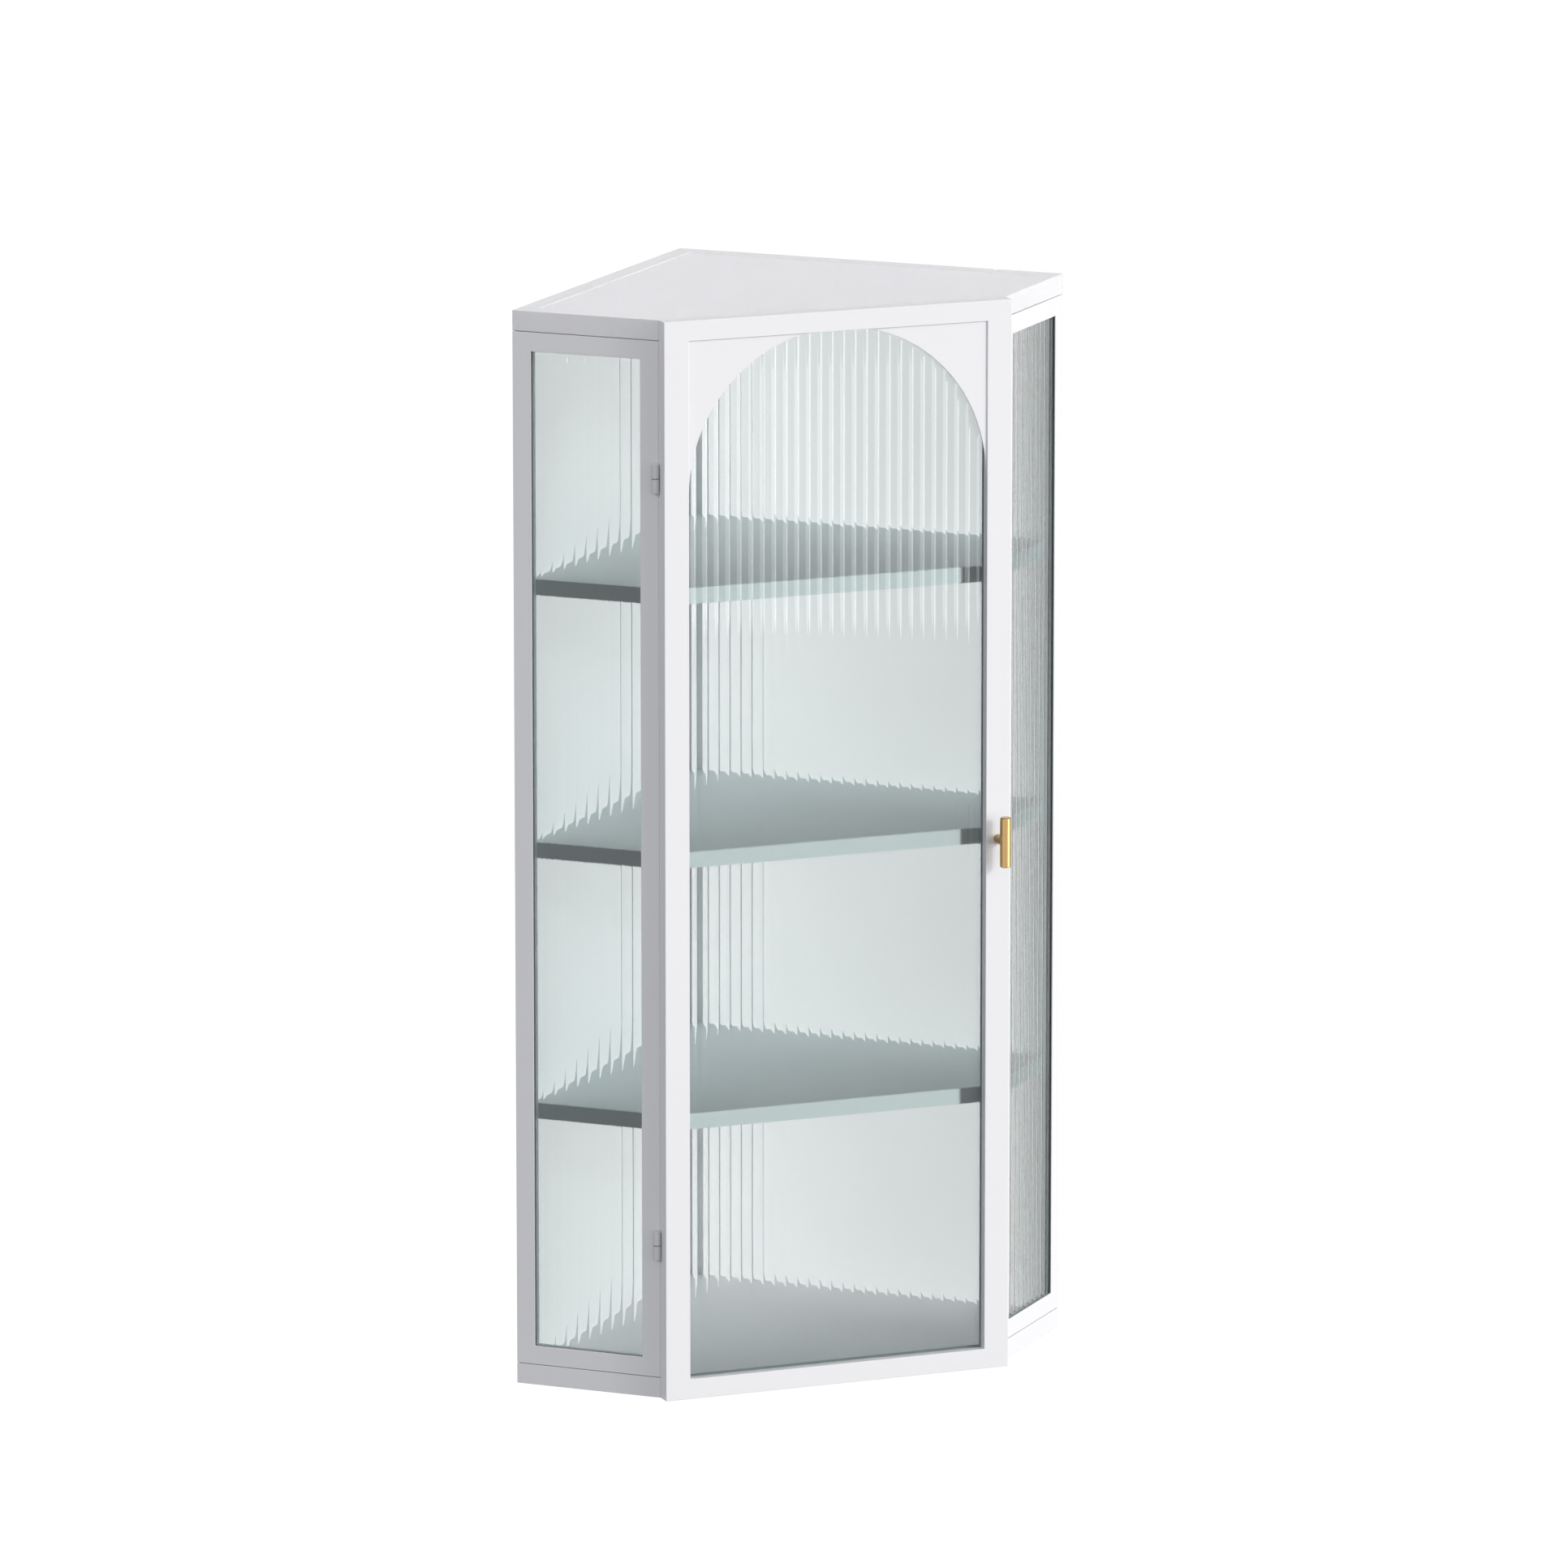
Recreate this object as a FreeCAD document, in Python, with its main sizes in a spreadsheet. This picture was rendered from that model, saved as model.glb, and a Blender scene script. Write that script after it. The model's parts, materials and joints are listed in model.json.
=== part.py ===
import FreeCAD, Part
import math
import os

import Sketcher

# A wall-hung corner display cabinet of folded sheet steel and reeded glass, in millimetres.
# The plan is a pentagon: two back walls that meet at 90 degrees in the corner of a room, two
# short glazed sides square to them, and one full-height door across the front. The door faces
# -Y and the room's corner is at +Y. The origin is on the floor under the centre of the whole
# cabinet's box, its knob included.

SIZES = {
    # the whole body
    "cabinet_height": 1070,
    "wall_length": 411,
    "side_width": 153.5,
    "sheet": 1.2,
    "fit_gap": 0.3,
    "overrun": 2,
    # the two folded rings at the top and the bottom, and the sheets in them
    "ring_height": 20,
    "ring_width": 20,
    "panel_lap": 10,
    # the folded back panels, with their screws to the wall and to each other
    "wall_depth": 12,
    "wall_hole_radius": 3.25,
    "wall_hole_spacing": 200,
    "wall_hole_drop": 45,
    "floor_edge": 2,
    # the glazed side frames
    "side_stile": 19.3,
    "side_rail": 19.5,
    "side_lip": 1.5,
    "rebate": 6,
    # reeded glass
    "glass_thickness": 4,
    "flute_pitch": 12,
    "flute_depth": 0.7,
    "flute_crest": 1,
    "door_flute_shift": 2.4,
    # the folded post in the corner, and the shelves with the angle clips that carry them
    "post_leg": 20,
    "shelf_height": 16,
    "shelf_gap": 0.5,
    "shelf_setback": 4,
    "clip_width": 15,
    "clip_drop": 12,
    "clip_reach": 10,
    "clip_sheet": 1.5,
    # the door
    "door_gap": 0.8,
    "door_thickness": 15,
    "door_stile": 25.5,
    "door_rail": 20,
    "door_lip": 9.2,
    "arch_cap": 3.5,
    "arch_tip": 0.6,
    "arch_sheet": 1.6,
    "arch_setback": 2,
    # the two barrel hinges
    "hinge_radius": 3.8,
    "hinge_clearance": 0.3,
    "hinge_length": 29,
    "hinge_inset": 154.5,
    "hinge_washer": 0.8,
    "hinge_washer_radius": 3.4,
    "pin_radius": 2,
    "pin_fit": 0.05,
    "pin_depth": 10,
    "weld_width": 1.6,
    # the knob
    "knob_radius": 5.5,
    "knob_length": 50,
    "knob_chamfer": 1,
    "knob_standoff": 18.5,
    "stem_radius": 4.7,
    "stem_fit": 0.05,
    # screws
    "screw_radius": 2,
    "screw_fit": 0.1,
    "screw_head_radius": 3.7,
    "screw_head_height": 2.2,
    "screw_reach": 4,
    "side_screw_reach": 7,
    "knob_screw_reach": 9,
    # magnetic catches and the bumpers that the door closes on
    "catch_inset": 52,
    "catch_radius": 5,
    "catch_flange": 6.5,
    "catch_depth": 10,
    "magnet_half": 2.8,
    "magnet_depth": 3,
    "bumper_inset": 17,
    "bumper_radius": 4,
}

# Places along a piece, as shares of its length, and the number of bays between the shelves.
WALL_CLIP_SHARES = (0.2, 0.8)
SCREW_SHARES = (0.14, 0.86)
RING_SCREW_SHARES = (0.5,)
BAYS = 4
# The least share of a flute that is cut where a row of flutes meets the edge of its pane.
LEAST_FLUTE = 0.5

# One leg of a right angle's bisector, sin 45 and cos 45 in one.
DIAGONAL = math.sqrt(0.5)

LEFT = -1
RIGHT = 1
SIDES = {"left": LEFT, "right": RIGHT}

doc = FreeCAD.newDocument("CornerCabinet")
sheet = doc.addObject("Spreadsheet::Sheet", "Sizes")
for row, (alias, number) in enumerate(SIZES.items(), start=1):
    sheet.set(f"A{row}", alias)
    sheet.set(f"B{row}", str(number))
    sheet.setAlias(f"B{row}", alias)
doc.recompute()


class Length:
    """A length or a count, written as an expression on the cells of the sheet."""

    def __init__(self, text):
        self.text = str(text)

    def __add__(self, other):
        return Length(f"({self.text} + {Length.of(other).text})")

    def __radd__(self, other):
        return Length.of(other) + self

    def __sub__(self, other):
        return Length(f"({self.text} - {Length.of(other).text})")

    def __rsub__(self, other):
        return Length.of(other) - self

    def __mul__(self, other):
        return Length(f"({self.text} * {Length.of(other).text})")

    def __rmul__(self, other):
        return Length.of(other) * self

    def __truediv__(self, other):
        return Length(f"({self.text} / {Length.of(other).text})")

    def __neg__(self):
        return Length(f"(0 - {self.text})")

    @staticmethod
    def of(value):
        return value if isinstance(value, Length) else Length(repr(value))

    @property
    def number(self):
        """The value that the sheet's present sizes give."""
        return float(sheet.evalExpression(self.text))


def size(alias):
    if alias not in SIZES:
        raise KeyError(alias)
    return Length(f"Sizes.{alias}")


NONE = Length("0")
HEIGHT = size("cabinet_height")
WALL = size("wall_length")
SIDE = size("side_width")
SHEET = size("sheet")
FIT = size("fit_gap")
OVERRUN = size("overrun")
RING = size("ring_height")
WALL_DEPTH = size("wall_depth")
GAP = size("door_gap")
DOOR = size("door_thickness")

# The main places in plan: the apex, the plane of the body's front, and the door's two faces.
FRONT_DEPTH = (WALL + SIDE) * DIAGONAL
KNOB_REACH = size("knob_standoff") + size("knob_radius")
APEX_Y = (FRONT_DEPTH + GAP + DOOR + KNOB_REACH) / 2
FRONT_Y = APEX_Y - FRONT_DEPTH
DOOR_BACK_Y = FRONT_Y - GAP
DOOR_FRONT_Y = DOOR_BACK_Y - DOOR
FRONT_HALF = (WALL - SIDE) * DIAGONAL

# The main heights: the side frames and back panels stand between the two rings.
WALLS_LOW = RING
WALLS_HIGH = HEIGHT - RING
FLOOR_TOP = RING + SHEET
SHELF_PITCH = (WALLS_HIGH - FLOOR_TOP + size("shelf_height")) / BAYS


def pentagon(walls, sides, front):
    """The plan's outline, set in from the back walls, the sides and the front."""
    back_x = (WALL - sides - walls) * DIAGONAL
    back_y = APEX_Y - (WALL - sides + walls) * DIAGONAL
    front_x = FRONT_HALF - sides / DIAGONAL + front
    front_y = FRONT_Y + front
    return [
        (NONE, APEX_Y - walls / DIAGONAL),
        (-back_x, back_y),
        (-front_x, front_y),
        (front_x, front_y),
        (back_x, back_y),
    ]


def even_pentagon(inset):
    return pentagon(inset, inset, inset)


def wall_point(side, along, depth):
    """A point in plan, from its place along one wall and its distance in from the wall."""
    return side * (along - depth) * DIAGONAL, APEX_Y - (along + depth) * DIAGONAL


def rectangle(low_x, low_y, high_x, high_y):
    return [(low_x, low_y), (high_x, low_y), (high_x, high_y), (low_x, high_y)]


def place(thing, x, y, z, angle=0, axis=(0, 0, 1)):
    """Turn a sub-part about an axis and bind its place to the sheet."""
    turn = FreeCAD.Rotation(FreeCAD.Vector(*axis), angle)
    thing.Placement = FreeCAD.Placement(FreeCAD.Vector(0, 0, 0), turn)
    for name, value in (("x", x), ("y", y), ("z", z)):
        thing.setExpression(f"Placement.Base.{name}", value.text)


def new_body(label):
    body = doc.addObject("PartDesign::Body", label)
    body.Label = label
    return body


def new_sketch(body, name, role, offset=NONE):
    """A sketch on one of the body's own origin planes, moved along the plane's normal."""
    sketch = body.newObject("Sketcher::SketchObject", name)
    plane = next(item for item in body.Origin.OriginFeatures if item.Role == role)
    sketch.AttachmentSupport = [(plane, "")]
    sketch.MapMode = "FlatFace"
    if offset is not NONE:
        sketch.setExpression("AttachmentOffset.Base.z", offset.text)
    return sketch


def bind(sketch, constraint, value):
    index = sketch.addConstraint(constraint)
    sketch.setExpression(f"Constraints[{index}]", value.text)


def pin_point(sketch, geometry, end, x, y):
    """Fix one end of a line or an arc at a point measured from the sketch's origin."""
    bind(sketch, Sketcher.Constraint("DistanceX", -1, 1, geometry, end, x.number), x)
    bind(sketch, Sketcher.Constraint("DistanceY", -1, 1, geometry, end, y.number), y)


def draw_outline(sketch, corners, arcs=None):
    """Close the corners with lines, or with an arc where arcs has the corner's number.

    arcs maps the number of an arc's first corner to its centre and radius. Each arc is under
    half a turn.
    """
    arcs = arcs or {}
    points = [(x.number, y.number) for x, y in corners]
    pieces = []
    for number, start in enumerate(points):
        end = points[(number + 1) % len(points)]
        if number not in arcs:
            line = Part.LineSegment(FreeCAD.Vector(*start, 0), FreeCAD.Vector(*end, 0))
            pieces.append((sketch.addGeometry(line), 1, 2))
            continue
        (centre_x, centre_y), radius = arcs[number]
        centre = FreeCAD.Vector(centre_x.number, centre_y.number, 0)
        first = math.atan2(start[1] - centre.y, start[0] - centre.x)
        last = math.atan2(end[1] - centre.y, end[0] - centre.x)
        circle = Part.Circle(centre, FreeCAD.Vector(0, 0, 1), radius.number)
        if (last - first) % math.tau < math.pi:
            index = sketch.addGeometry(Part.ArcOfCircle(circle, first, last))
            pieces.append((index, 1, 2))
        else:
            index = sketch.addGeometry(Part.ArcOfCircle(circle, last, first))
            pieces.append((index, 2, 1))
        bind(sketch, Sketcher.Constraint("Radius", index, radius.number), radius)
    for number, (index, start, end) in enumerate(pieces):
        following = pieces[(number + 1) % len(pieces)]
        sketch.addConstraint(Sketcher.Constraint("Coincident", index, end, *following[:2]))
        pin_point(sketch, index, start, *corners[number])


def draw_circle(sketch, x, y, radius):
    circle = Part.Circle(
        FreeCAD.Vector(x.number, y.number, 0), FreeCAD.Vector(0, 0, 1), radius.number
    )
    index = sketch.addGeometry(circle)
    bind(sketch, Sketcher.Constraint("Radius", index, radius.number), radius)
    pin_point(sketch, index, 3, x, y)


def grow(body, kind, name, sketch, length, backwards=False, both_ways=False):
    """Pad or pocket a sketch by a bound length."""
    feature = body.newObject(f"PartDesign::{kind}", name)
    feature.Profile = sketch
    feature.Reversed = backwards
    feature.Midplane = both_ways
    feature.setExpression("Length", length.text)
    sketch.Visibility = False
    doc.recompute()
    return feature


def upright(body, name, low, high, *outlines, arcs=None):
    """Pad an outline in plan from one height to another; further outlines are its holes."""
    sketch = new_sketch(body, f"{name}Outline", "XY_Plane", low)
    draw_outline(sketch, outlines[0], arcs)
    for hole in outlines[1:]:
        draw_outline(sketch, hole)
    return grow(body, "Pad", name, sketch, high - low)


def clear_out(body, name, low, high, outline, arcs=None):
    """Cut an outline in plan out of the body from one height to another."""
    before = body.Shape.Volume
    sketch = new_sketch(body, f"{name}Outline", "XY_Plane", low)
    draw_outline(sketch, outline, arcs)
    pocket = grow(body, "Pocket", name, sketch, high - low, backwards=True)
    if not body.Shape.Volume < before:
        raise RuntimeError(f"{body.Label}: {name} cuts nothing")
    return pocket


def drill(
    body, name, role, centres, radius, depth, offset=NONE, both_ways=True, backwards=False
):
    """Drill round holes square to one of the body's origin planes."""
    before = body.Shape.Volume
    sketch = new_sketch(body, f"{name}Circles", role, offset)
    for x, y in centres:
        draw_circle(sketch, x, y, radius)
    hole = grow(body, "Pocket", name, sketch, depth, backwards, both_ways)
    if not body.Shape.Volume < before:
        raise RuntimeError(f"{body.Label}: {name} cuts nothing")
    return hole


def turned(body, name, corners):
    """Revolve a half section, drawn right of the upright axis, about that axis."""
    sketch = new_sketch(body, f"{name}Section", "XZ_Plane")
    draw_outline(sketch, corners)
    feature = body.newObject("PartDesign::Revolution", name)
    feature.Profile = sketch
    feature.ReferenceAxis = (sketch, ["V_Axis"])
    sketch.Visibility = False
    doc.recompute()
    return feature


def box(name, low, high):
    """A box between two corners, each given as lengths."""
    solid = doc.addObject("Part::Box", name)
    for side, axis, start, end in zip(("Length", "Width", "Height"), "xyz", low, high):
        solid.setExpression(side, (end - start).text)
        solid.setExpression(f"Placement.Base.{axis}", start.text)
    return solid


def ordered_box(name, first, second):
    """A box whose corners may be given in either order."""
    pairs = [sorted(pair, key=lambda end: end.number) for pair in zip(first, second)]
    return box(name, [pair[0] for pair in pairs], [pair[1] for pair in pairs])


def rod(name, radius, length, x, y, z, angle=0, axis=(0, 0, 1)):
    solid = doc.addObject("Part::Cylinder", name)
    solid.setExpression("Radius", radius.text)
    solid.setExpression("Height", length.text)
    place(solid, x, y, z, angle, axis)
    return solid


def fused(name, *solids):
    joined = doc.addObject("Part::MultiFuse", name)
    joined.Shapes = list(solids)
    joined.Refine = True
    return joined


def group(label, solids):
    """Separate solids that share one node."""
    compound = doc.addObject("Part::Compound", label)
    compound.Label = label
    compound.Links = list(solids)
    return compound


# Two local frames. A wall's frame has its origin at the apex and X along the wall, towards the
# side; a side's frame has its origin at the side's front corner and X along the side, towards
# the wall. In both, the sign that wall_inward or side_inward gives turns a depth into Y.

def wall_inward(side):
    return -side


def side_inward(side):
    return side


def place_on_wall(thing, side):
    place(thing, NONE, APEX_Y, NONE, -90 + side * 45)


def place_on_side(thing, side):
    place(thing, side * FRONT_HALF, FRONT_Y, NONE, 90 - side * 45)


parts = {}


def keep(thing):
    parts[thing.Label] = thing
    return thing


# The folded rings: a channel section whose web is the visible rim and whose mouth faces in.

def catch_heights(low):
    return low + RING / 2


def ring(label, low):
    body = new_body(label)
    high = low + RING
    inner = even_pentagon(size("ring_width"))
    upright(body, "Rim", low, high, even_pentagon(NONE), inner)
    clear_out(body, "Channel", low + SHEET, high - SHEET, even_pentagon(SHEET))
    catch = (FRONT_HALF - size("catch_inset"), catch_heights(low))
    radius = size("catch_radius") + FIT
    drill(body, "CatchHole", "XZ_Plane", [catch], radius, SHEET + OVERRUN, -FRONT_Y, False)
    return body


def wall_screw_places():
    """Where the rings are screwed to a back panel, along the wall."""
    return [WALL * share for share in RING_SCREW_SHARES]


def drill_ring_flange(body, flange_low):
    """Holes for the screws that hold the back panels, through the flange that they touch."""
    centres = []
    for side in SIDES.values():
        for along in wall_screw_places():
            centres.append(wall_point(side, along, WALL_DEPTH / 2))
    radius = size("screw_radius") + size("screw_fit")
    depth = SHEET * 2
    drill(body, "PanelScrewHoles", "XY_Plane", centres, radius, depth, flange_low + SHEET / 2)


top_frame = keep(ring("top_frame", WALLS_HIGH))
drill_ring_flange(top_frame, WALLS_HIGH)
bottom_frame = keep(ring("bottom_frame", NONE))
drill_ring_flange(bottom_frame, RING - SHEET)

# The top sheet lies under the ring's upper flange, so it shows one sheet lower than the rim.
top_panel = keep(new_body("top_panel"))
upright(
    top_panel,
    "Sheet",
    HEIGHT - SHEET * 2,
    HEIGHT - SHEET,
    even_pentagon(size("ring_width") - size("panel_lap")),
)

# The floor sheet lies on the bottom ring, between the walls and the side frames.
floor_panel = keep(new_body("floor_panel"))
floor_inset = WALL_DEPTH + size("floor_edge")
upright(floor_panel, "Sheet", RING, FLOOR_TOP, pentagon(floor_inset, floor_inset, NONE))

# A folded post stands on the bottom ring in the corner, flat against both back panels.
corner_post = keep(new_body("corner_post"))
post_far = WALL_DEPTH + size("post_leg")
post_near = WALL_DEPTH + SHEET
upright(
    corner_post,
    "Fold",
    WALLS_LOW,
    WALLS_HIGH,
    [
        wall_point(LEFT, WALL_DEPTH, WALL_DEPTH),
        wall_point(LEFT, post_far, WALL_DEPTH),
        wall_point(LEFT, post_far, post_near),
        wall_point(LEFT, post_near, post_near),
        wall_point(RIGHT, post_far, post_near),
        wall_point(RIGHT, post_far, WALL_DEPTH),
    ],
)


# The back panels: flat inside, with flanges folded back to the wall on all four edges. The
# left one runs into the apex, and the right one butts against it.

def back_panel_ends(side):
    start = NONE if side == LEFT else WALL_DEPTH
    return start, WALL - WALL_DEPTH


def back_panel(label, side):
    body = new_body(label)
    inward = wall_inward(side)
    start, end = back_panel_ends(side)
    outline = rectangle(start, NONE, end, inward * WALL_DEPTH)
    upright(body, "Fold", WALLS_LOW, WALLS_HIGH, outline)
    hollow = rectangle(
        start + SHEET, -inward * OVERRUN, end - SHEET, inward * (WALL_DEPTH - SHEET)
    )
    clear_out(body, "Hollow", WALLS_LOW + SHEET, WALLS_HIGH - SHEET, hollow)

    centre = WALL / 2
    height = WALLS_HIGH - size("wall_hole_drop")
    half = size("wall_hole_spacing") / 2
    holes = [(centre - half, height), (centre + half, height)]
    depth = WALL_DEPTH * 2 + OVERRUN
    drill(body, "WallHoles", "XZ_Plane", holes, size("wall_hole_radius"), depth)

    radius = size("screw_radius") + size("screw_fit")
    flanges = [(along, inward * WALL_DEPTH / 2) for along in wall_screw_places()]
    length = (WALLS_HIGH + OVERRUN) * 2
    drill(body, "RingScrewHoles", "XY_Plane", flanges, radius, length)
    ends = [(inward * WALL_DEPTH / 2, height) for height in upright_screw_heights()]
    first = WALL / 2 if side == LEFT else NONE
    drill(body, "EndScrewHoles", "YZ_Plane", ends, radius, WALL, first, False, True)
    place_on_wall(body, side)
    return body


def upright_screw_heights():
    """Heights of the screws in the upright seams."""
    return [WALLS_LOW + (WALLS_HIGH - WALLS_LOW) * share for share in SCREW_SHARES]


def drill_corner_seam(body):
    """Holes in the left panel's flat face, where the right panel's end is screwed to it."""
    centres = [(WALL_DEPTH / 2, height) for height in upright_screw_heights()]
    radius = size("screw_radius") + size("screw_fit")
    drill(body, "CornerScrewHoles", "XZ_Plane", centres, radius, WALL_DEPTH * 2 + OVERRUN)


left_back_panel = keep(back_panel("left_back_panel", LEFT))
drill_corner_seam(left_back_panel)
right_back_panel = keep(back_panel("right_back_panel", RIGHT))


# The side frames, mitred at the front so that their ends lie in the plane of the door, with a
# rebate for the glass behind a thin outer lip.

SIDE_WINDOW = (
    size("side_stile"),
    SIDE - size("side_stile"),
    WALLS_LOW + size("side_rail"),
    WALLS_HIGH - size("side_rail"),
)


def side_frame(label, side):
    body = new_body(label)
    inward = side_inward(side)
    start, end, low, high = SIDE_WINDOW
    outline = [
        (NONE, NONE),
        (SIDE, NONE),
        (SIDE, inward * WALL_DEPTH),
        (-WALL_DEPTH, inward * WALL_DEPTH),
    ]
    upright(body, "Section", WALLS_LOW, WALLS_HIGH, outline)
    window = rectangle(start, -inward * OVERRUN, end, inward * (WALL_DEPTH + OVERRUN))
    clear_out(body, "Window", low, high, window)
    rebate = size("rebate")
    seat = rectangle(
        start - rebate,
        inward * size("side_lip"),
        end + rebate,
        inward * (WALL_DEPTH + OVERRUN),
    )
    clear_out(body, "Rebate", low - rebate, high + rebate, seat)

    # The screws come through the back panel's end, square to the inner face.
    centres = [(SIDE - WALL_DEPTH / 2, height) for height in upright_screw_heights()]
    radius = size("screw_radius") + size("screw_fit")
    depth = size("side_screw_reach") + FIT - SHEET
    face = -inward * WALL_DEPTH
    before = body.Shape.Volume
    sketch = new_sketch(body, "ScrewHoleCircles", "XZ_Plane", face)
    for x, y in centres:
        draw_circle(sketch, x, y, radius)
    grow(body, "Pocket", "ScrewHoles", sketch, depth, backwards=side == RIGHT)
    if not body.Shape.Volume < before:
        raise RuntimeError(f"{label}: the screw holes cut nothing")
    place_on_side(body, side)
    return body


def reeded_pane(label, width, face, low, high, outward, shift=NONE):
    """A pane whose outer face is a row of shallow hollow flutes with narrow flat crests.

    face is the crests' place in Y. The row is centred on the pane, and then moved by shift, so
    its last flute may run out at the pane's edge.
    """
    body = new_body(label)
    pitch = size("flute_pitch")
    depth = size("flute_depth")
    back = face - outward * size("glass_thickness")
    upright(body, "Slab", low, high, rectangle(-width / 2, face, width / 2, back))

    whole = Length(f"floor({(width / pitch).text})")
    first = shift - whole * pitch / 2
    count = Length(f"floor({((width / 2 - first) / pitch + 1 - LEAST_FLUTE).text})")
    start = first + size("flute_crest") / 2
    mouth = pitch - size("flute_crest")
    radius = (mouth * mouth / 4 + depth * depth) / (2 * depth)
    clear = face + outward * OVERRUN
    corners = [(start, clear), (start + mouth, clear), (start + mouth, face), (start, face)]
    centre = (start + mouth / 2, face + outward * (radius - depth))
    flute = clear_out(body, "Flute", low, high, corners, arcs={2: (centre, radius)})

    row = body.newObject("PartDesign::LinearPattern", "Flutes")
    row.Originals = [flute]
    row.Direction = (flute.Profile[0], ["H_Axis"])
    row.setExpression("Length", ((count - 1) * pitch).text)
    row.setExpression("Occurrences", count.text)
    body.Tip = row
    doc.recompute()
    return body


def beads(label, start, end, low, high, front, back):
    """Four square strips that close a rebate behind the glass, flush with the window."""
    rebate = size("rebate")
    strips = [
        ordered_box(f"{label}_a", (start - rebate, front, low - rebate), (start, back, high + rebate)),
        ordered_box(f"{label}_b", (end, front, low - rebate), (end + rebate, back, high + rebate)),
        ordered_box(f"{label}_c", (start, front, low - rebate), (end, back, low)),
        ordered_box(f"{label}_d", (start, front, high), (end, back, high + rebate)),
    ]
    return group(label, strips)


def side_glazing(name, side):
    inward = side_inward(side)
    start, end, low, high = SIDE_WINDOW
    rebate = size("rebate")
    width = end - start + (rebate - FIT) * 2
    face = inward * (size("side_lip") + FIT)
    pane = reeded_pane(
        f"{name}_side_glass", width, face, low - rebate + FIT, high + rebate - FIT, -inward
    )
    middle = (start + end) / 2
    place(
        pane,
        side * (FRONT_HALF + middle * DIAGONAL),
        FRONT_Y + middle * DIAGONAL,
        NONE,
        90 - side * 45,
    )
    keep(pane)
    behind = face + inward * size("glass_thickness")
    strips = beads(
        f"{name}_side_beads", start, end, low, high, behind, inward * WALL_DEPTH
    )
    place_on_side(strips, side)
    keep(strips)


for name, side in SIDES.items():
    keep(side_frame(f"{name}_side_frame", side))
    side_glazing(name, side)


# Three folded shelves, open underneath, each on six angle clips and clear of the corner post.

def shelf(label, top):
    body = new_body(label)
    at_sides = WALL_DEPTH + size("shelf_gap")
    at_walls = at_sides + SHEET
    setback = size("shelf_setback")
    low = top - size("shelf_height")
    upright(body, "Fold", low, top, pentagon(at_walls, at_sides, setback))
    inner = pentagon(at_walls + SHEET, at_sides + SHEET, setback + SHEET)
    clear_out(body, "Underside", low - OVERRUN, top - SHEET, inner)
    return body


def angle_clip(name, along, depth, inward, top):
    """A folded clip: one leg on the wall, below the shelf, and one leg under the shelf's edge."""
    half = size("clip_width") / 2
    thick = size("clip_sheet")
    upright_leg = ordered_box(
        f"{name}_wall_leg",
        (along - half, inward * depth, top - size("clip_drop")),
        (along + half, inward * (depth + thick), top),
    )
    level_leg = ordered_box(
        f"{name}_shelf_leg",
        (along - half, inward * depth, top - thick),
        (along + half, inward * (depth + size("clip_reach")), top),
    )
    return fused(name, upright_leg, level_leg)


def shelf_clips(label, top):
    clips = []
    for name, side in SIDES.items():
        for number, share in enumerate(WALL_CLIP_SHARES):
            clip = angle_clip(
                f"{label}_{name}_wall_{number}", WALL * share, WALL_DEPTH, wall_inward(side), top
            )
            place_on_wall(clip, side)
            clips.append(clip)
        clip = angle_clip(
            f"{label}_{name}_side", size("clip_width") / 2, WALL_DEPTH, side_inward(side), top
        )
        place_on_side(clip, side)
        clips.append(clip)
    return group(label, clips)


for number, name in enumerate(("lower", "middle", "upper"), start=1):
    shelf_top = FLOOR_TOP + SHELF_PITCH * number
    keep(shelf(f"{name}_shelf", shelf_top))
    keep(shelf_clips(f"{name}_shelf_clips", shelf_top - size("shelf_height")))


# The door: a rebated frame, two arch plates in its upper corners, the reeded pane and its
# strips.

DOOR_WINDOW_HALF = FRONT_HALF - size("door_stile")
DOOR_WINDOW_LOW = size("door_rail")
DOOR_WINDOW_HIGH = HEIGHT - size("door_rail")


def door_frame():
    body = new_body("door_frame")
    upright(
        body,
        "Section",
        NONE,
        HEIGHT,
        rectangle(-FRONT_HALF, DOOR_FRONT_Y, FRONT_HALF, DOOR_BACK_Y),
    )
    window = rectangle(
        -DOOR_WINDOW_HALF, DOOR_FRONT_Y - OVERRUN, DOOR_WINDOW_HALF, DOOR_BACK_Y + OVERRUN
    )
    clear_out(body, "Window", DOOR_WINDOW_LOW, DOOR_WINDOW_HIGH, window)
    rebate = size("rebate")
    half = DOOR_WINDOW_HALF + rebate
    seat = rectangle(-half, DOOR_FRONT_Y + size("door_lip"), half, DOOR_BACK_Y + OVERRUN)
    clear_out(body, "Rebate", DOOR_WINDOW_LOW - rebate, DOOR_WINDOW_HIGH + rebate, seat)
    drill(
        body,
        "KnobScrewHole",
        "XZ_Plane",
        [(KNOB_X, KNOB_Z)],
        size("screw_radius") + size("screw_fit"),
        DOOR + OVERRUN,
        -(DOOR_FRONT_Y - OVERRUN),
        False,
    )
    return body


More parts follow.
